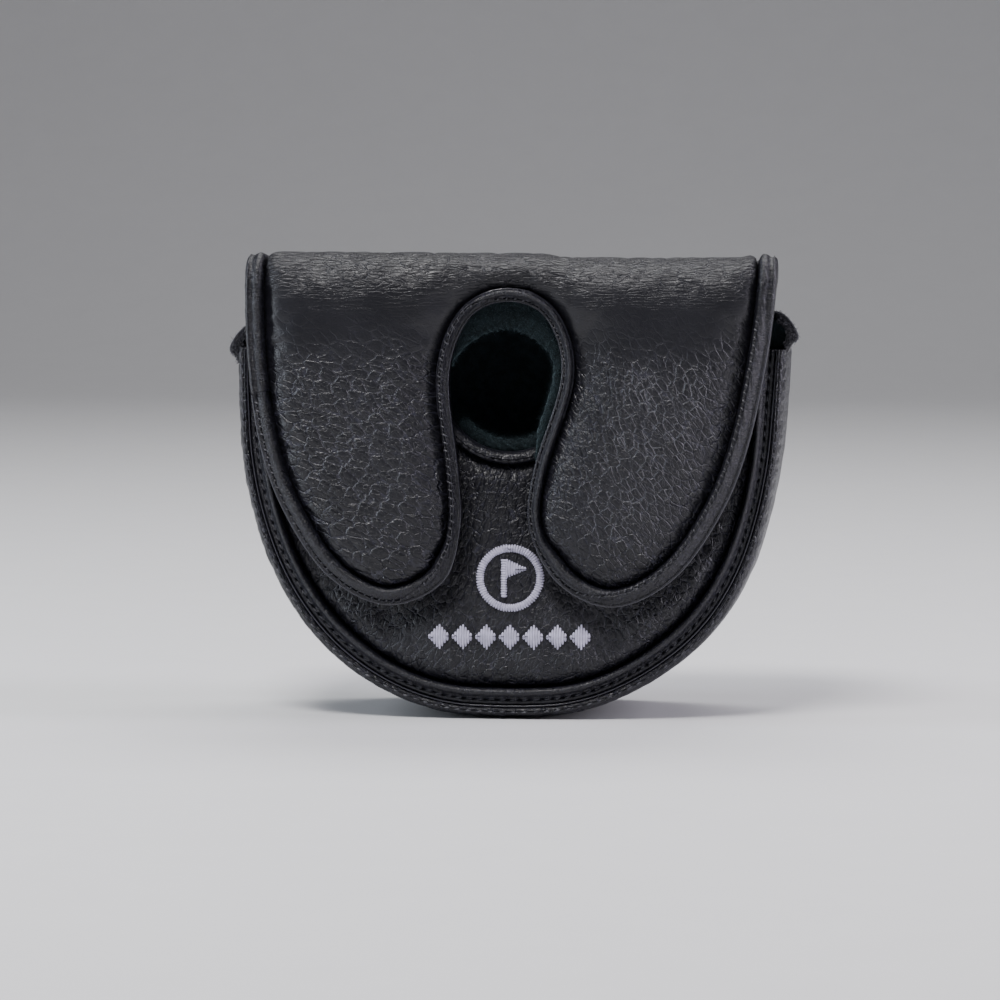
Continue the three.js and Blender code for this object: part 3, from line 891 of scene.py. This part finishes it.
def fold_back(piece):
    """Bakes the piece's transform into its mesh, for the pieces from the pocket to the top strip."""
    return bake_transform(piece)


def on_pocket(piece):
    """Sewn to the pocket."""
    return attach(piece, "pocket")


def finish(piece, slot, *nodes, carry=on_pocket):
    """Hides the CAD nodes that a piece stands for and hands the piece to what carries it. slot is not used.
    """
    if nodes:
        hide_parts(*nodes)
    carry(piece)


def add_flap_padding():
    edge = flap_path()
    rim = offset(edge, border_width(edge) - 0.15)
    piece = pad("flap_padding", rim, closing_line(rim), wrap_flap, skin_depth(1.0), UNDERSIDE, flap_leather,
                step=1.25, held=near_split, cap=FREE_PLAY)
    finish(piece, "leather", "flap_leather", "left_lobe_foam", "right_lobe_foam", "bridge_leather",
           carry=fold_front)


def add_back_padding():
    rim = back_path(PANEL_INSET - 0.4, ROLL_WIDTH - 0.15)
    piece = pad("back_padding", rim, closing_line(rim), wrap_flap, skin_depth(1.0), UNDERSIDE, flap_leather,
                step=1.5, held=near_split, cap=FREE_PLAY)
    finish(piece, "leather", "back_panel_leather", "back_panel_foam", "bridge_foam", carry=fold_back)


# ---- The flap's rolled border ----

ROLL_WIDTH = 4.6
SLOT_ROLL_WIDTH = 3.1
FLAP_ROLL = round_section([
    (0.25, 5.5), (-0.05, 4.2), (-0.05, 2.6), (0.12, 1.75), (0.45, 1.30), (0.90, 1.35), (1.35, 1.15),
    (1.8, 0.75), (2.4, 0.15), (3.05, -0.05), (3.7, 0.20), (4.2, 0.95), (4.5, 2.1), (4.6, 3.6),
    (4.4, 5.3), (2.4, 5.9),
], 64)
ROLL_PITCH = 1.9
VALLEY = 1.0
VALLEY_FILL = 1.05
DENT_DEPTH, DENT_WIDTH = 0.50, 0.020
FOLD_PITCH = 1.15
BEAD_RADIUS = 0.20
LAP_LENGTH = 3
LAP_TUCK = 0.35
CORD_RADIUS = 1.2


def roll_relief(section, stitch, pitch, seed, sewn=1.0, folds=0.0):
    """Stitch dents and soft wrinkles on a rolled edge.

    stitch is the inset of the stitches, sewn how deep their dents are, and folds how strongly the
    leather is gathered in arcs. Each may change along the edge.
    """
    insets = np.linspace(0.3, section[:, 0].max() - 0.3, 40)
    shares = np.array([share_at(section, i) for i in insets])
    centre = np.interp(stitch, insets, shares) if np.ndim(stitch) else share_at(section, stitch)
    centre = np.reshape(centre, (-1, 1))

    valley = share_at(section, VALLEY)
    sewn = np.reshape(sewn, (-1, 1))
    folds = np.reshape(folds, (-1, 1))

    def relief(s, share):
        dents = stitch_dents(s, share, centre, pitch, DENT_DEPTH, DENT_WIDTH)
        plain = VALLEY_FILL * np.exp(-((share - valley) / 0.085) ** 2)
        curve = 0.5 * np.cos(2 * math.pi * (share - 0.3))
        arcs = 0.09 * np.sin(2 * math.pi * (s / FOLD_PITCH + curve)) * folds
        ripples = 0.09 * wavy(s + 6 * np.sin(2 * math.pi * share), seed, 5.0)
        fine = 0.05 * wavy(s + 2 * share, seed + 1, 1.7)
        top = np.exp(-((share - centre + 0.05) / 0.12) ** 2)
        return dents * sewn + plain * (1 - sewn) + arcs + (ripples + fine) * (0.3 + top)
    return relief


def bead(name, path, inset, depth, wrap, width=None):
    """The painted cut edge of the leather, a fine glossy line along a roll."""
    return sweep(name, path, circle((inset, depth), BEAD_RADIUS, 8), wrap, edge_paint, width=width)


def stitch_place(edge):
    """The inset of the stitches along the flap's edge, before the narrowing at the slot.

    They run outside on the left lobe and inside on the right one. In the keyhole they start beside the
    padding and cross to the hole's side.
    """
    x, v = edge.T
    outer = 1.25 + 2.2 * smooth(-12, 30, x)
    slot = 3.10 - 2.00 * smooth(-9, -1, x)
    near_slot = smooth(26, 14, np.abs(x - LEAN / 2)) * smooth(103, 98, v)
    return outer + (slot - outer) * near_slot


def add_flap_border():
    step = 0.36
    edge = flap_path(step)
    width = border_width(edge) / ROLL_WIDTH
    stitch = stitch_place(edge)
    folds = smooth(V_FACE + 1, V_FACE + 5, edge[:, 1]) * smooth(V_TOP + 6, V_TOP, edge[:, 1])
    join = int(np.argmax(edge[:, 1] < BORDER_JOIN_Z))
    lap = round(LAP_LENGTH / step)
    upper, lower = slice(0, join + 1), slice(join - lap, None)
    s = lengths_along(edge[lower])
    tuck = LAP_TUCK * smooth(lap * step + 5, lap * step - 1, s)
    sewn = smooth(0, 4, s) * smooth(s[-1] - 30, s[-1] - 40, s)
    relief = roll_relief(FLAP_ROLL, stitch[lower], ROLL_PITCH, 2.0, sewn, folds[lower])
    plain = roll_relief(FLAP_ROLL, 1.2, ROLL_PITCH, 5.0, 0.0, folds[upper])
    line = slice(join, -round(34 / step))
    depth = np.interp(stitch, *roll_profile(FLAP_ROLL)) + 0.2
    keyhole = smooth(19, 14, np.abs(edge[:, 0] - LEAN / 2)) * smooth(70, 76, edge[:, 1]) > 0.5
    hole = slice(int(keyhole.argmax()), int(len(edge) - keyhole[::-1].argmax()))
    pieces = [
        sweep("flap_upper_roll", edge[upper], FLAP_ROLL, wrap_flap, edge_leather, width=width[upper],
              relief=plain, taper=1.2),
        sweep("flap_lower_roll", edge[lower], FLAP_ROLL, wrap_flap, edge_leather, width=width[lower],
              relief=lambda along, share: relief(along, share) - np.interp(along, s, tuck)),
        bead("flap_lower_cut_edge", edge[line], 0.25, 1.55, wrap_flap, width[line]),
        bead("keyhole_cut_edge", edge[hole], 4.3, 1.25, wrap_flap, width[hole]),
        stitch_row("flap_lower_stitches", edge[line], (stitch * width)[line], depth[line], wrap_flap,
                   black_thread, ROLL_PITCH, length=0.7, radius=0.20, slant=1.2),
        stitch_row("keyhole_stitches", edge[hole], (stitch * width)[hole], depth[hole], wrap_flap,
                   black_thread, ROLL_PITCH / 2, length=0.35, radius=0.14, slant=0.8),
    ]
    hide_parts("left_upper_border", "bridge_binding_left")
    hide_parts("left_lobe_border", "keyhole_border", "right_lobe_border", "bridge_binding_right")
    for piece, slot in zip(pieces, ("border", "border", "border", "border", "thread", "thread")):
        finish(piece, slot, carry=fold_front)
    add_border_cords(edge, width)


def roll_profile(section):
    """Insets and depths of a section's outer side, for reading its depth at an inset."""
    outer = section[(section[:, 1] < 2.0)]
    return outer[outer[:, 0].argsort()].T


def add_border_cords(edge, width):
    """The filler cords inside the rolled border, one on each side of the keyhole."""
    top = int(np.argmax(edge[:, 1] < FRONT_FOLD_Z))
    middle = len(edge) // 2
    wide = int(np.argmax(width[top:middle] < 0.98)) + top
    section = circle((2.4, 3.1), CORD_RADIUS, 14)
    for side, part in (("left", edge[top:wide]), ("right", edge[len(edge) - wide:-top])):
        cord = sweep(f"{side}_filler_cord", resample(part, 0.8), section, wrap_flap, cord_fill, taper=1.0,
                     relief=lambda s, share: 0.12 * np.sin(2 * math.pi * (2 * share + s / 4)))
        finish(cord, "cord", f"{side}_border_cord", carry=fold_front)


# ---- The pocket's edges and side wall ----

EDGE_ROLL = round_section([
    (2.75, 5.4), (2.8, 3.8), (3.0, 2.6), (3.45, 1.9), (3.85, 1.62), (4.3, 1.66), (4.9, 1.5), (5.35, 1.0),
    (5.85, 0.2), (6.45, -0.15), (7.05, 0.15), (7.45, 1.1), (7.55, 2.8), (7.45, 5.2), (5.0, 5.7),
], 60)
EDGE_STITCH = 4.55
EDGE_PITCH = 2.7
BACK_STITCH = 1.3


def add_front_edge():
    path = pocket_path(MOUTH_Z, 0.45)
    depth = depth_at(EDGE_ROLL, EDGE_STITCH) + 0.15
    roll = sweep("front_edge_roll", path, EDGE_ROLL, wrap_front, edge_leather,
                 relief=roll_relief(EDGE_ROLL, EDGE_STITCH, EDGE_PITCH, 3.0))
    threads = stitch_row("front_edge_stitches", path, EDGE_STITCH, depth, wrap_front, black_thread,
                         EDGE_PITCH, length=2.0, radius=0.24, slant=0.5)
    line = bead("front_edge_cut_edge", path, 3.05, 1.55, wrap_front)
    finish(roll, "border", "front_edge_binding")
    finish(line, "border")
    finish(threads, "thread")


def add_back_edge():
    path = back_path(0.0, 0.0, 0.5)
    path = offset(path, 2.6 * smooth(V_BACK - 6, V_BACK + 10, path[:, 1]))
    roll = sweep("back_edge_roll", path, FLAP_ROLL, wrap_flap, edge_leather,
                 relief=roll_relief(FLAP_ROLL, BACK_STITCH, EDGE_PITCH, 4.0))
    depth = depth_at(FLAP_ROLL, BACK_STITCH) + 0.15
    threads = stitch_row("back_edge_stitches", path, BACK_STITCH, depth, wrap_flap, black_thread,
                         EDGE_PITCH, length=2.0, radius=0.22)
    finish(roll, "border", "back_edge_binding", carry=fold_back)
    finish(threads, "thread", carry=fold_back)


FLANGE = 4.7
FLANGE_FRONT, FLANGE_BACK = GUSSET_FRONT - FLANGE, GUSSET_BACK + FLANGE
# Half of the side wall's section: inset, and distance in from the wall's edge. It is the same at both edges.
GUSSET_HALF = [
    (4.6, 2), (3.6, 0.1), (2.6, -0.8), (2.7, 0.8 - FLANGE), (2.1, -FLANGE), (1.3, 0.3 - FLANGE),
    (0.6, 1.6 - FLANGE), (0.3, -0.5), (0.35, 1.2), (0.05, 5), (-0.3, 11),
]
GUSSET = round_section(
    [(inset, GUSSET_FRONT + y) for inset, y in GUSSET_HALF]
    + [(inset, GUSSET_BACK - y) for inset, y in reversed(GUSSET_HALF)] + [(4.7, 8), (4.7, -2)], 120)
FLANGE_STITCH = 1.7


def add_gusset():
    path = pocket_path(MOUTH_Z, 0.7)

    def side_row(y):
        gap = np.abs(GUSSET[:, 0] - FLANGE_STITCH) + np.abs(GUSSET[:, 1] - y)
        return gap.argmin() / len(GUSSET)

    rows = [side_row(FLANGE_FRONT), side_row(FLANGE_BACK)]

    def relief(s, share):
        total = 0.05 * wavy(s + 3 * np.sin(9 * share), 1.0, 8.0) + 0.06 * wavy(s, 2.0, 19.0)
        for row in rows:
            total = total + stitch_dents(s, share, row, EDGE_PITCH, 0.32, 0.008)
        return total

    def wrap(x, z, y):
        thinner = 0.5 * smooth(60, 88, z) * np.sign(x)
        return wrap_plain(x - thinner, z, y)

    piece = sweep("gusset_padding", path, GUSSET, wrap, gusset_leather, relief, swollen=(0.9, 0.30))
    finish(piece, "leather", "gusset_leather", "gusset_foam")
    for name, y, turn in (("front", FLANGE_FRONT + 0.2, 1), ("back", FLANGE_BACK - 0.2, -1)):
        row = stitch_row(f"gusset_{name}_stitches", path, FLANGE_STITCH, 0.0,
                         lambda x, z, depth, y=y, turn=turn: wrap_plain(x, z, y + turn * depth),
                         black_thread, EDGE_PITCH, length=1.9, radius=0.24, slant=0.4)
        finish(row, "thread")


EAR = round_section([
    (-5.4, 2.2), (-3.4, 1.1), (-1.6, -0.2), (0.2, 0.3), (2.3, 1.6), (3.8, 3.2), (4.4, 5.0), (3.6, 5.6),
    (2.6, 4.4), (1.4, 2.9), (0.0, 1.8), (-1.5, 1.5), (-3.2, 2.2), (-5.0, 3.2),
], 60)


WHIP_PITCH = 1.6
WHIP_RADIUS = 0.17
EAR_INSIDE = round_section([
    (-5.6, 2.6), (-3.2, 1.8), (-1.5, 1.0), (0.2, 1.4), (1.8, 2.8), (2.8, 4.6), (1.6, 6.4), (-2.0, 6.8),
    (-5.6, 6.6),
], 40)


def add_ear(name, side, node, lift, inward):
    """The bound top end of the side wall: a lip that flares outwards, whipped over and frayed."""
    low, high = node_box(node)
    outer = max(abs(low[0]), abs(high[0])) - inward
    centre_z = (low[2] + high[2]) / 2 + lift
    path = resample(np.array([(low[1] - 2.0, centre_z), (high[1] + 2.0, centre_z)]), 0.45)

    def wrap(y, z, depth):
        y, z, depth = matched(y, z, depth)
        bow = 0.4 * np.cos((y - low[1]) / (high[1] - low[1]) * math.pi * 1.7)
        return np.stack([side * (outer - depth + 0.3 * bow), y, z + bow], axis=-1)

    def relief(s, share):
        lumps = 0.10 * wavy(s + 2 * np.cos(2 * math.pi * share), side + 2.0, 3.6)
        return lumps - 0.12 * np.sin(math.pi * (s - 2) / WHIP_PITCH) ** 8

    roll = sweep(f"{name}_ear_roll", path, EAR, wrap, edge_leather, relief, taper=0.8)
    finish(roll, "border", node)
    inside = sweep(f"{name}_ear_lining", path[3:-3], EAR_INSIDE, wrap, plush, lumpy(0.2, 2.0, 2.9), taper=0.8)
    finish(inside, "plush")
    over = EAR[6:30]
    lines = []
    for y in np.arange(low[1] - WHIP_PITCH, high[1] + 1.4, WHIP_PITCH):
        slope = y + np.linspace(-0.5, 0.5, len(over))
        lines.append(sway(wrap(slope, centre_z + over[:, 0], over[:, 1] + 0.02)))
    whipping = tubes(f"{name}_ear_whipping", lines, np.full(len(over), WHIP_RADIUS), black_thread)
    finish(whipping, "thread")
    rim = surface_samples(roll, 700, lambda p, n: (p[:, 1] < low[1] - 1.2) & (n[:, 0] * side > -0.1))
    fray = fuzz(f"{name}_ear_fray", *rim, length=0.75, radius=0.10, material=black_thread, lean=0.8)
    finish(fray, "thread")


# ---- The front panel ----

def outside_flap(flat):
    """How far each flat point lies outside the flap's outline, which hangs over the front panel."""
    edge = flap_path(1.5)
    gap, _ = distances(flat, edge)
    x, z = flat.T
    inside = np.zeros(len(flat), bool)
    for (x0, z0), (x1, z1) in zip(edge, np.roll(edge, -1, axis=0)):
        if z0 == z1:
            continue
        crosses = (z0 > z) != (z1 > z)
        inside ^= crosses & (x < x0 + (z - z0) * (x1 - x0) / (z1 - z0))
    return np.where(inside, 0, gap)


def add_front_padding():
    sides = offset(pocket_path(MOUTH_Z, 0.8), PANEL_INSET + 0.1)
    mouth = offset(mouth_path(PANEL_END), RIM_WIDTH + 0.15)
    sides = sides[sides[:, 1] < MOUTH_Z - RIM_WIDTH - 0.8]
    mouth = mouth[np.abs(mouth[:, 0]) < PANEL_END - 0.6]
    rim = np.vstack([sides, mouth, sides[:1]])
    rim = resample(rim, 0.8)[:-1]

    def depth_of(flat, gap, place):
        free = smooth(0.5, 7, outside_flap(flat)) * smooth(66, 60, flat[:, 1])
        rise = (2.5 + 1.5 * free) * (1 - np.exp(-gap / 2.2))
        pucker = 0.22 * wavy(place, 0.5, 6.0) * np.exp(-((gap - 1.4) / 2.6) ** 2)
        pucker = pucker + 0.13 * wavy(place, 1.5, 2.7) * np.exp(-((gap - 1.2) / 1.6) ** 2)
        slack = 0.12 * np.sin(flat[:, 0] / 8) * np.cos(flat[:, 1] / 9) * smooth(2, 9, gap)
        return 2.7 - rise - (pucker + slack) * (0.4 + 0.6 * free)

    def under_flap(flat):
        return outside_flap(flat) < 0.5

    piece = pad("front_padding", rim, np.zeros((0, 2)), wrap_front, depth_of, 5.2, panel_leather,
                step=1.3, held=under_flap, cap=0.7)
    finish(piece, "leather", "front_panel_leather", "front_panel_foam")
    return piece


MOUTH_ROLL = round_section([
    (0.05, 4.2), (-0.15, 2.4), (0.2, 1.0), (0.9, 0.25), (1.7, 0.2), (2.4, 0.75), (2.9, 1.9), (3.0, 4.2),
    (2.7, 6.6), (1.5, 7.2), (0.4, 6.4),
], 44)
MOUTH_STITCH = 1.9
MOUTH_PITCH = 1.8


def add_mouth_edge():
    path = mouth_path(PANEL_END, 0.4)
    roll = sweep("mouth_roll", path, MOUTH_ROLL, wrap_front, edge_leather, taper=1.0,
                 relief=roll_relief(MOUTH_ROLL, MOUTH_STITCH, MOUTH_PITCH, 6.0))
    depth = depth_at(MOUTH_ROLL, MOUTH_STITCH) + 0.12
    threads = stitch_row("mouth_stitches", path, MOUTH_STITCH, depth, wrap_front, black_thread,
                         MOUTH_PITCH, length=1.3, radius=0.2)
    finish(roll, "border", "mouth_binding")
    finish(threads, "thread")


# ---- Plush linings ----

PLUSH_DEPTH = 5.75
PLUSH_UNDERSIDE = 4.9
PILE_RADIUS = 0.04


def plush_depth(depth, lumps=0.22):
    """A level lining with an uneven pile. depth is a number or a function of the flat points."""
    def depth_of(flat, gap, place):
        level = depth(flat) if callable(depth) else depth
        x, v = flat.T
        pile = lumps * (wavy(x + 0.6 * v, 1.0, 3.4) + wavy(v - x, 2.0, 4.1))
        return level + 0.5 * pile * smooth(0, 2, gap) - 0.6 * np.exp(-gap / 0.8)
    return depth_of


def add_linings():
    edge = flap_path()
    rim = offset(edge, border_width(edge) + 0.3)
    front = pad("flap_plush", rim, closing_line(rim), wrap_flap, plush_depth(PLUSH_DEPTH), PLUSH_UNDERSIDE,
                plush, step=2.0)
    finish(front, "plush", "flap_lining", "bridge_lining", carry=fold_front)

    def back_level(flat):
        return PLUSH_DEPTH + 0.9 * smooth(V_BACK, V_BACK + 10, flat[:, 1])

    rim = back_path(LINING_INSET, BORDER + 0.2)
    back = pad("back_plush", rim, closing_line(rim), wrap_flap, plush_depth(back_level), PLUSH_UNDERSIDE,
               plush, step=2.2)
    finish(back, "plush", "back_panel_lining", carry=fold_back)

    sides = offset(pocket_path(MOUTH_Z, 1.0), LINING_INSET)
    mouth = offset(mouth_path(PANEL_END, 1.0), RIM_WIDTH + 0.2)
    mouth = mouth[np.abs(mouth[:, 0]) < PANEL_END - 0.6]
    rim = np.vstack([sides[sides[:, 1] < MOUTH_Z - RIM_WIDTH - 1], mouth, sides[:1]])
    inner = pad("front_plush", resample(rim, 1.0)[:-1], np.zeros((0, 2)), wrap_front, plush_depth(7.0), 5.9,
                plush, step=2.2)
    finish(inner, "plush", "front_panel_lining")

    section = round_section([(4.8, -10), (4.9, 4), (4.8, 16), (5.6, 17.2), (6.2, 14), (6.3, 4), (6.2, -8),
                             (5.6, -11.4)], 60)
    wall = sweep("gusset_plush", pocket_path(MOUTH_Z, 1.2), section, wrap_plain, plush,
                 relief=lambda s, share: 0.12 * wavy(s + 8 * np.sin(6 * share), 1.0, 3.7))
    finish(wall, "plush", "gusset_lining")


def add_keyhole_plush():
    """The lining's edge, which shows as a fuzzy ring inside the keyhole and above the notch."""
    edge = flap_path(0.5)
    x, v = edge.T
    ring = edge[(np.abs(x - LEAN / 2) < 16) & (v > np.where(x < 0, 84, 62)) & (v < 103)]
    x, v = ring.T
    top = smooth(84, 100, v)
    reach = 0.6 + 5.8 * top + 1.5 * smooth(0, 9, x) * smooth(62, 70, v) * (1 - 0.6 * top)
    section = round_section([
        (0.3, 5.2), (0.3, 3.7), (-0.3, 3.1), (-0.8, 3.5), (-1.0, 4.4), (-0.8, 5.3), (-0.2, 5.7),
    ], 34)
    roll = sweep("keyhole_plush", ring, section, wrap_flap, plush, lumpy(0.10, 3.0, 2.6), reach, taper=3.0)
    hair = fuzz("keyhole_fuzz", *surface_samples(roll, 5200, lambda p, n: n[:, 1] < 0.5), length=1.0,
                radius=PILE_RADIUS, material=plush)
    finish(roll, "plush", carry=fold_front)
    finish(hair, "plush", carry=fold_front)

    mouth = mouth_path(PANEL_END, 0.5)
    notch = mouth[(np.abs(mouth[:, 0]) < 13.5) & (mouth[:, 1] < 84)]
    section = round_section([
        (1.6, 5.6), (0.0, 4.2), (-1.6, 4.4), (-2.7, 6.0), (-2.4, 8.0), (-0.6, 9.0), (1.4, 8.2),
    ], 30)
    band = sweep("notch_plush", notch, section, wrap_front, plush, lumpy(0.30, 1.5, 2.8), taper=2.5)
    hair = fuzz("notch_fuzz", *surface_samples(band, 3400, lambda p, n: n[:, 2] > -0.3), length=1.1,
                radius=PILE_RADIUS, material=plush)
    finish(band, "plush")
    finish(hair, "plush")


# ---- Embroidery: satin stitches laid side by side on the front panel ----

THREAD = 0.31
THREAD_PITCH = 0.60
THREAD_ARCH = 0.38
RING_WIDTH = 1.45
POLE_WIDTH = 1.0


def satin(name, ends, under, node):
    """A satin-stitched shape. ends holds the two (x, z) ends of each thread."""
    share = np.linspace(0, 1, 7)[:, None]
    lines = []
    for a, b in ends:
        a, b = np.array(a, float), np.array(b, float)
        jitter = rng.uniform(-0.06, 0.06, 2)
        across = b - a
        across = across / np.linalg.norm(across)
        flat = (a - across * (0.08 + jitter[0])) * (1 - share) + (b + across * (0.08 + jitter[1])) * share
        arch = THREAD_ARCH * np.sqrt(np.clip(1 - (2 * share[:, 0] - 1) ** 2, 0, 1)) - 0.12
        lines.append([(x, under(x, z) - h, z) for (x, z), h in zip(flat, arch)])
    radii = THREAD * np.array([0.7, 1, 1.05, 1.05, 1.05, 1, 0.7])
    finish(tubes(name, lines, radii, pale_thread), "thread", node)


def add_embroidery(panel):
    tree = BVHTree.FromObject(panel, bpy.context.evaluated_depsgraph_get())

    def under(x, z):
        hit = tree.ray_cast(Vector((x * MM, FACE_Y * 3 * MM, z * MM)), Vector((0, 1, 0)))[0]
        return hit.y / MM

    centre = (emblem_low + emblem_high) / 2
    outer = (emblem_high[0] - emblem_low[0]) / 2
    inner = outer - RING_WIDTH
    rays = circle((0, 0), 1, round(2 * math.pi * (outer - 0.6) / THREAD_PITCH))
    middle = np.array([centre[0], centre[2]])
    satin("emblem_ring_satin", [(middle + r * inner, middle + r * outer) for r in rays], under, "emblem_ring")

    left, right = flag_low[0], flag_high[0]
    heights = np.arange(flag_low[2], flag_high[2], THREAD_PITCH)
    pole = [((left, z), (left + POLE_WIDTH, z)) for z in heights]
    tip = middle[1] + 2.2
    pennant = []
    for x in np.arange(left + POLE_WIDTH + 0.2, right, THREAD_PITCH):
        share = (right - x) / (right - left - POLE_WIDTH)
        pennant.append(((x, tip - 2.0 * share - 0.1), (x, tip + 2.2 * share + 0.1)))
    satin("emblem_flag_satin", pole + pennant, under, "emblem_flag")

    for i, (low, high) in enumerate(diamond_boxes, start=1):
        cx, cz = (low[0] + high[0]) / 2, (low[2] + high[2]) / 2
        half, tall = (high[0] - low[0]) / 2, (high[2] - low[2]) / 2
        ends = []
        for x in np.arange(-half + 0.2, half - 0.1, THREAD_PITCH):
            reach = tall * (1 - abs(x) / half)
            ends.append(((cx + x, cz - reach - 0.05), (cx + x, cz + reach + 0.05)))
        satin(f"diamond_satin_{i}", ends, under, f"diamond_{i}")


# ---- Hidden CAD pieces, which keep their shapes ----

def dress_hidden_pieces():
    for side in ("left", "right"):
        for node in (f"{side}_keeper_plate", f"{side}_magnet"):
            mesh = frame["nodes"][node].data
            mesh.materials.clear()
            mesh.materials.append(steel)


# ---- Studio ----

def add_floor(low_z):
    """A pale floor that curves up into a backdrop."""
    bend, depth = 0.8, 1.2
    turns = np.linspace(0.1, math.pi / 2, 14)
    profile = [(-3.0, 0.0), (depth, 0.0)]
    profile += [(depth + bend * math.sin(a), bend - bend * math.cos(a)) for a in turns]
    profile.append((depth + bend, 4.0))
    points = [(x, y, z) for y, z in profile for x in (-5.0, 5.0)]
    faces = [(i, i + 1, i + 3, i + 2) for i in range(0, len(points) - 2, 2)]
    mesh = bpy.data.meshes.new("studio_floor")
    mesh.from_pydata(points, [], faces)
    mesh.polygons.foreach_set("use_smooth", [True] * len(mesh.polygons))
    mesh.materials.append(floor_material("studio_floor"))
    floor = bpy.data.objects.new("studio_floor", mesh)
    floor.location.z = low_z
    bpy.context.scene.collection.objects.link(floor)


def add_light(name, place, size, power, colour=(1, 1, 1), aim=(0, 0, 0.055)):
    data = bpy.data.lights.new(name, "AREA")
    data.shape = "RECTANGLE"
    data.size, data.size_y = size
    data.energy = power
    data.color = colour
    light = bpy.data.objects.new(name, data)
    light.location = place
    light.rotation_euler = (Vector(aim) - Vector(place)).to_track_quat("-Z", "Y").to_euler()
    bpy.context.scene.collection.objects.link(light)


def add_studio():
    add_light("key", (-0.20, -0.50, 1.10), (0.40, 0.30), 17.0, (1.0, 0.98, 0.98))
    add_light("left_strip", (-0.70, -0.10, 0.30), (0.16, 0.8), 5.0, (0.84, 0.91, 1.0))
    add_light("right_strip", (0.70, -0.05, 0.32), (0.16, 0.8), 6.5, (0.93, 0.88, 1.0))
    add_light("top", (0.05, 0.45, 0.95), (0.9, 0.4), 8.0)
    world = bpy.data.worlds.new("studio")
    world.use_nodes = True
    world.node_tree.nodes["Background"].inputs[0].default_value = (0.86, 0.88, 0.92, 1)
    world.node_tree.nodes["Background"].inputs[1].default_value = 0.12
    bpy.context.scene.world = world


def add_camera():
    azimuth, elevation, distance = math.radians(4.8), math.radians(5.0), 1.0
    target = Vector((-0.004, 0.0, 0.0508))
    back = Vector((math.sin(azimuth) * math.cos(elevation), -math.cos(azimuth) * math.cos(elevation),
                   math.sin(elevation)))
    data = bpy.data.cameras.new("camera")
    data.sensor_width = 36.0
    data.lens = 149.6
    camera = bpy.data.objects.new("camera", data)
    camera.location = target + back * distance
    camera.rotation_euler = (-back).to_track_quat("-Z", "Y").to_euler()
    bpy.context.scene.collection.objects.link(camera)
    bpy.context.scene.camera = camera


add_camera()
add_flap_padding()
add_back_padding()
add_gusset()
add_front_edge()
add_back_edge()
panel = add_front_padding()
add_mouth_edge()
add_flap_border()
add_ear("left", -1, "gusset_end_binding_left", -1.6, 1.2)
add_ear("right", 1, "gusset_end_binding_right", 1.9, 0.8)
add_linings()
add_keyhole_plush()
add_embroidery(panel)
dress_hidden_pieces()
add_studio()

VISUAL_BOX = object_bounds()
add_floor(VISUAL_BOX[0].z - 0.0001)
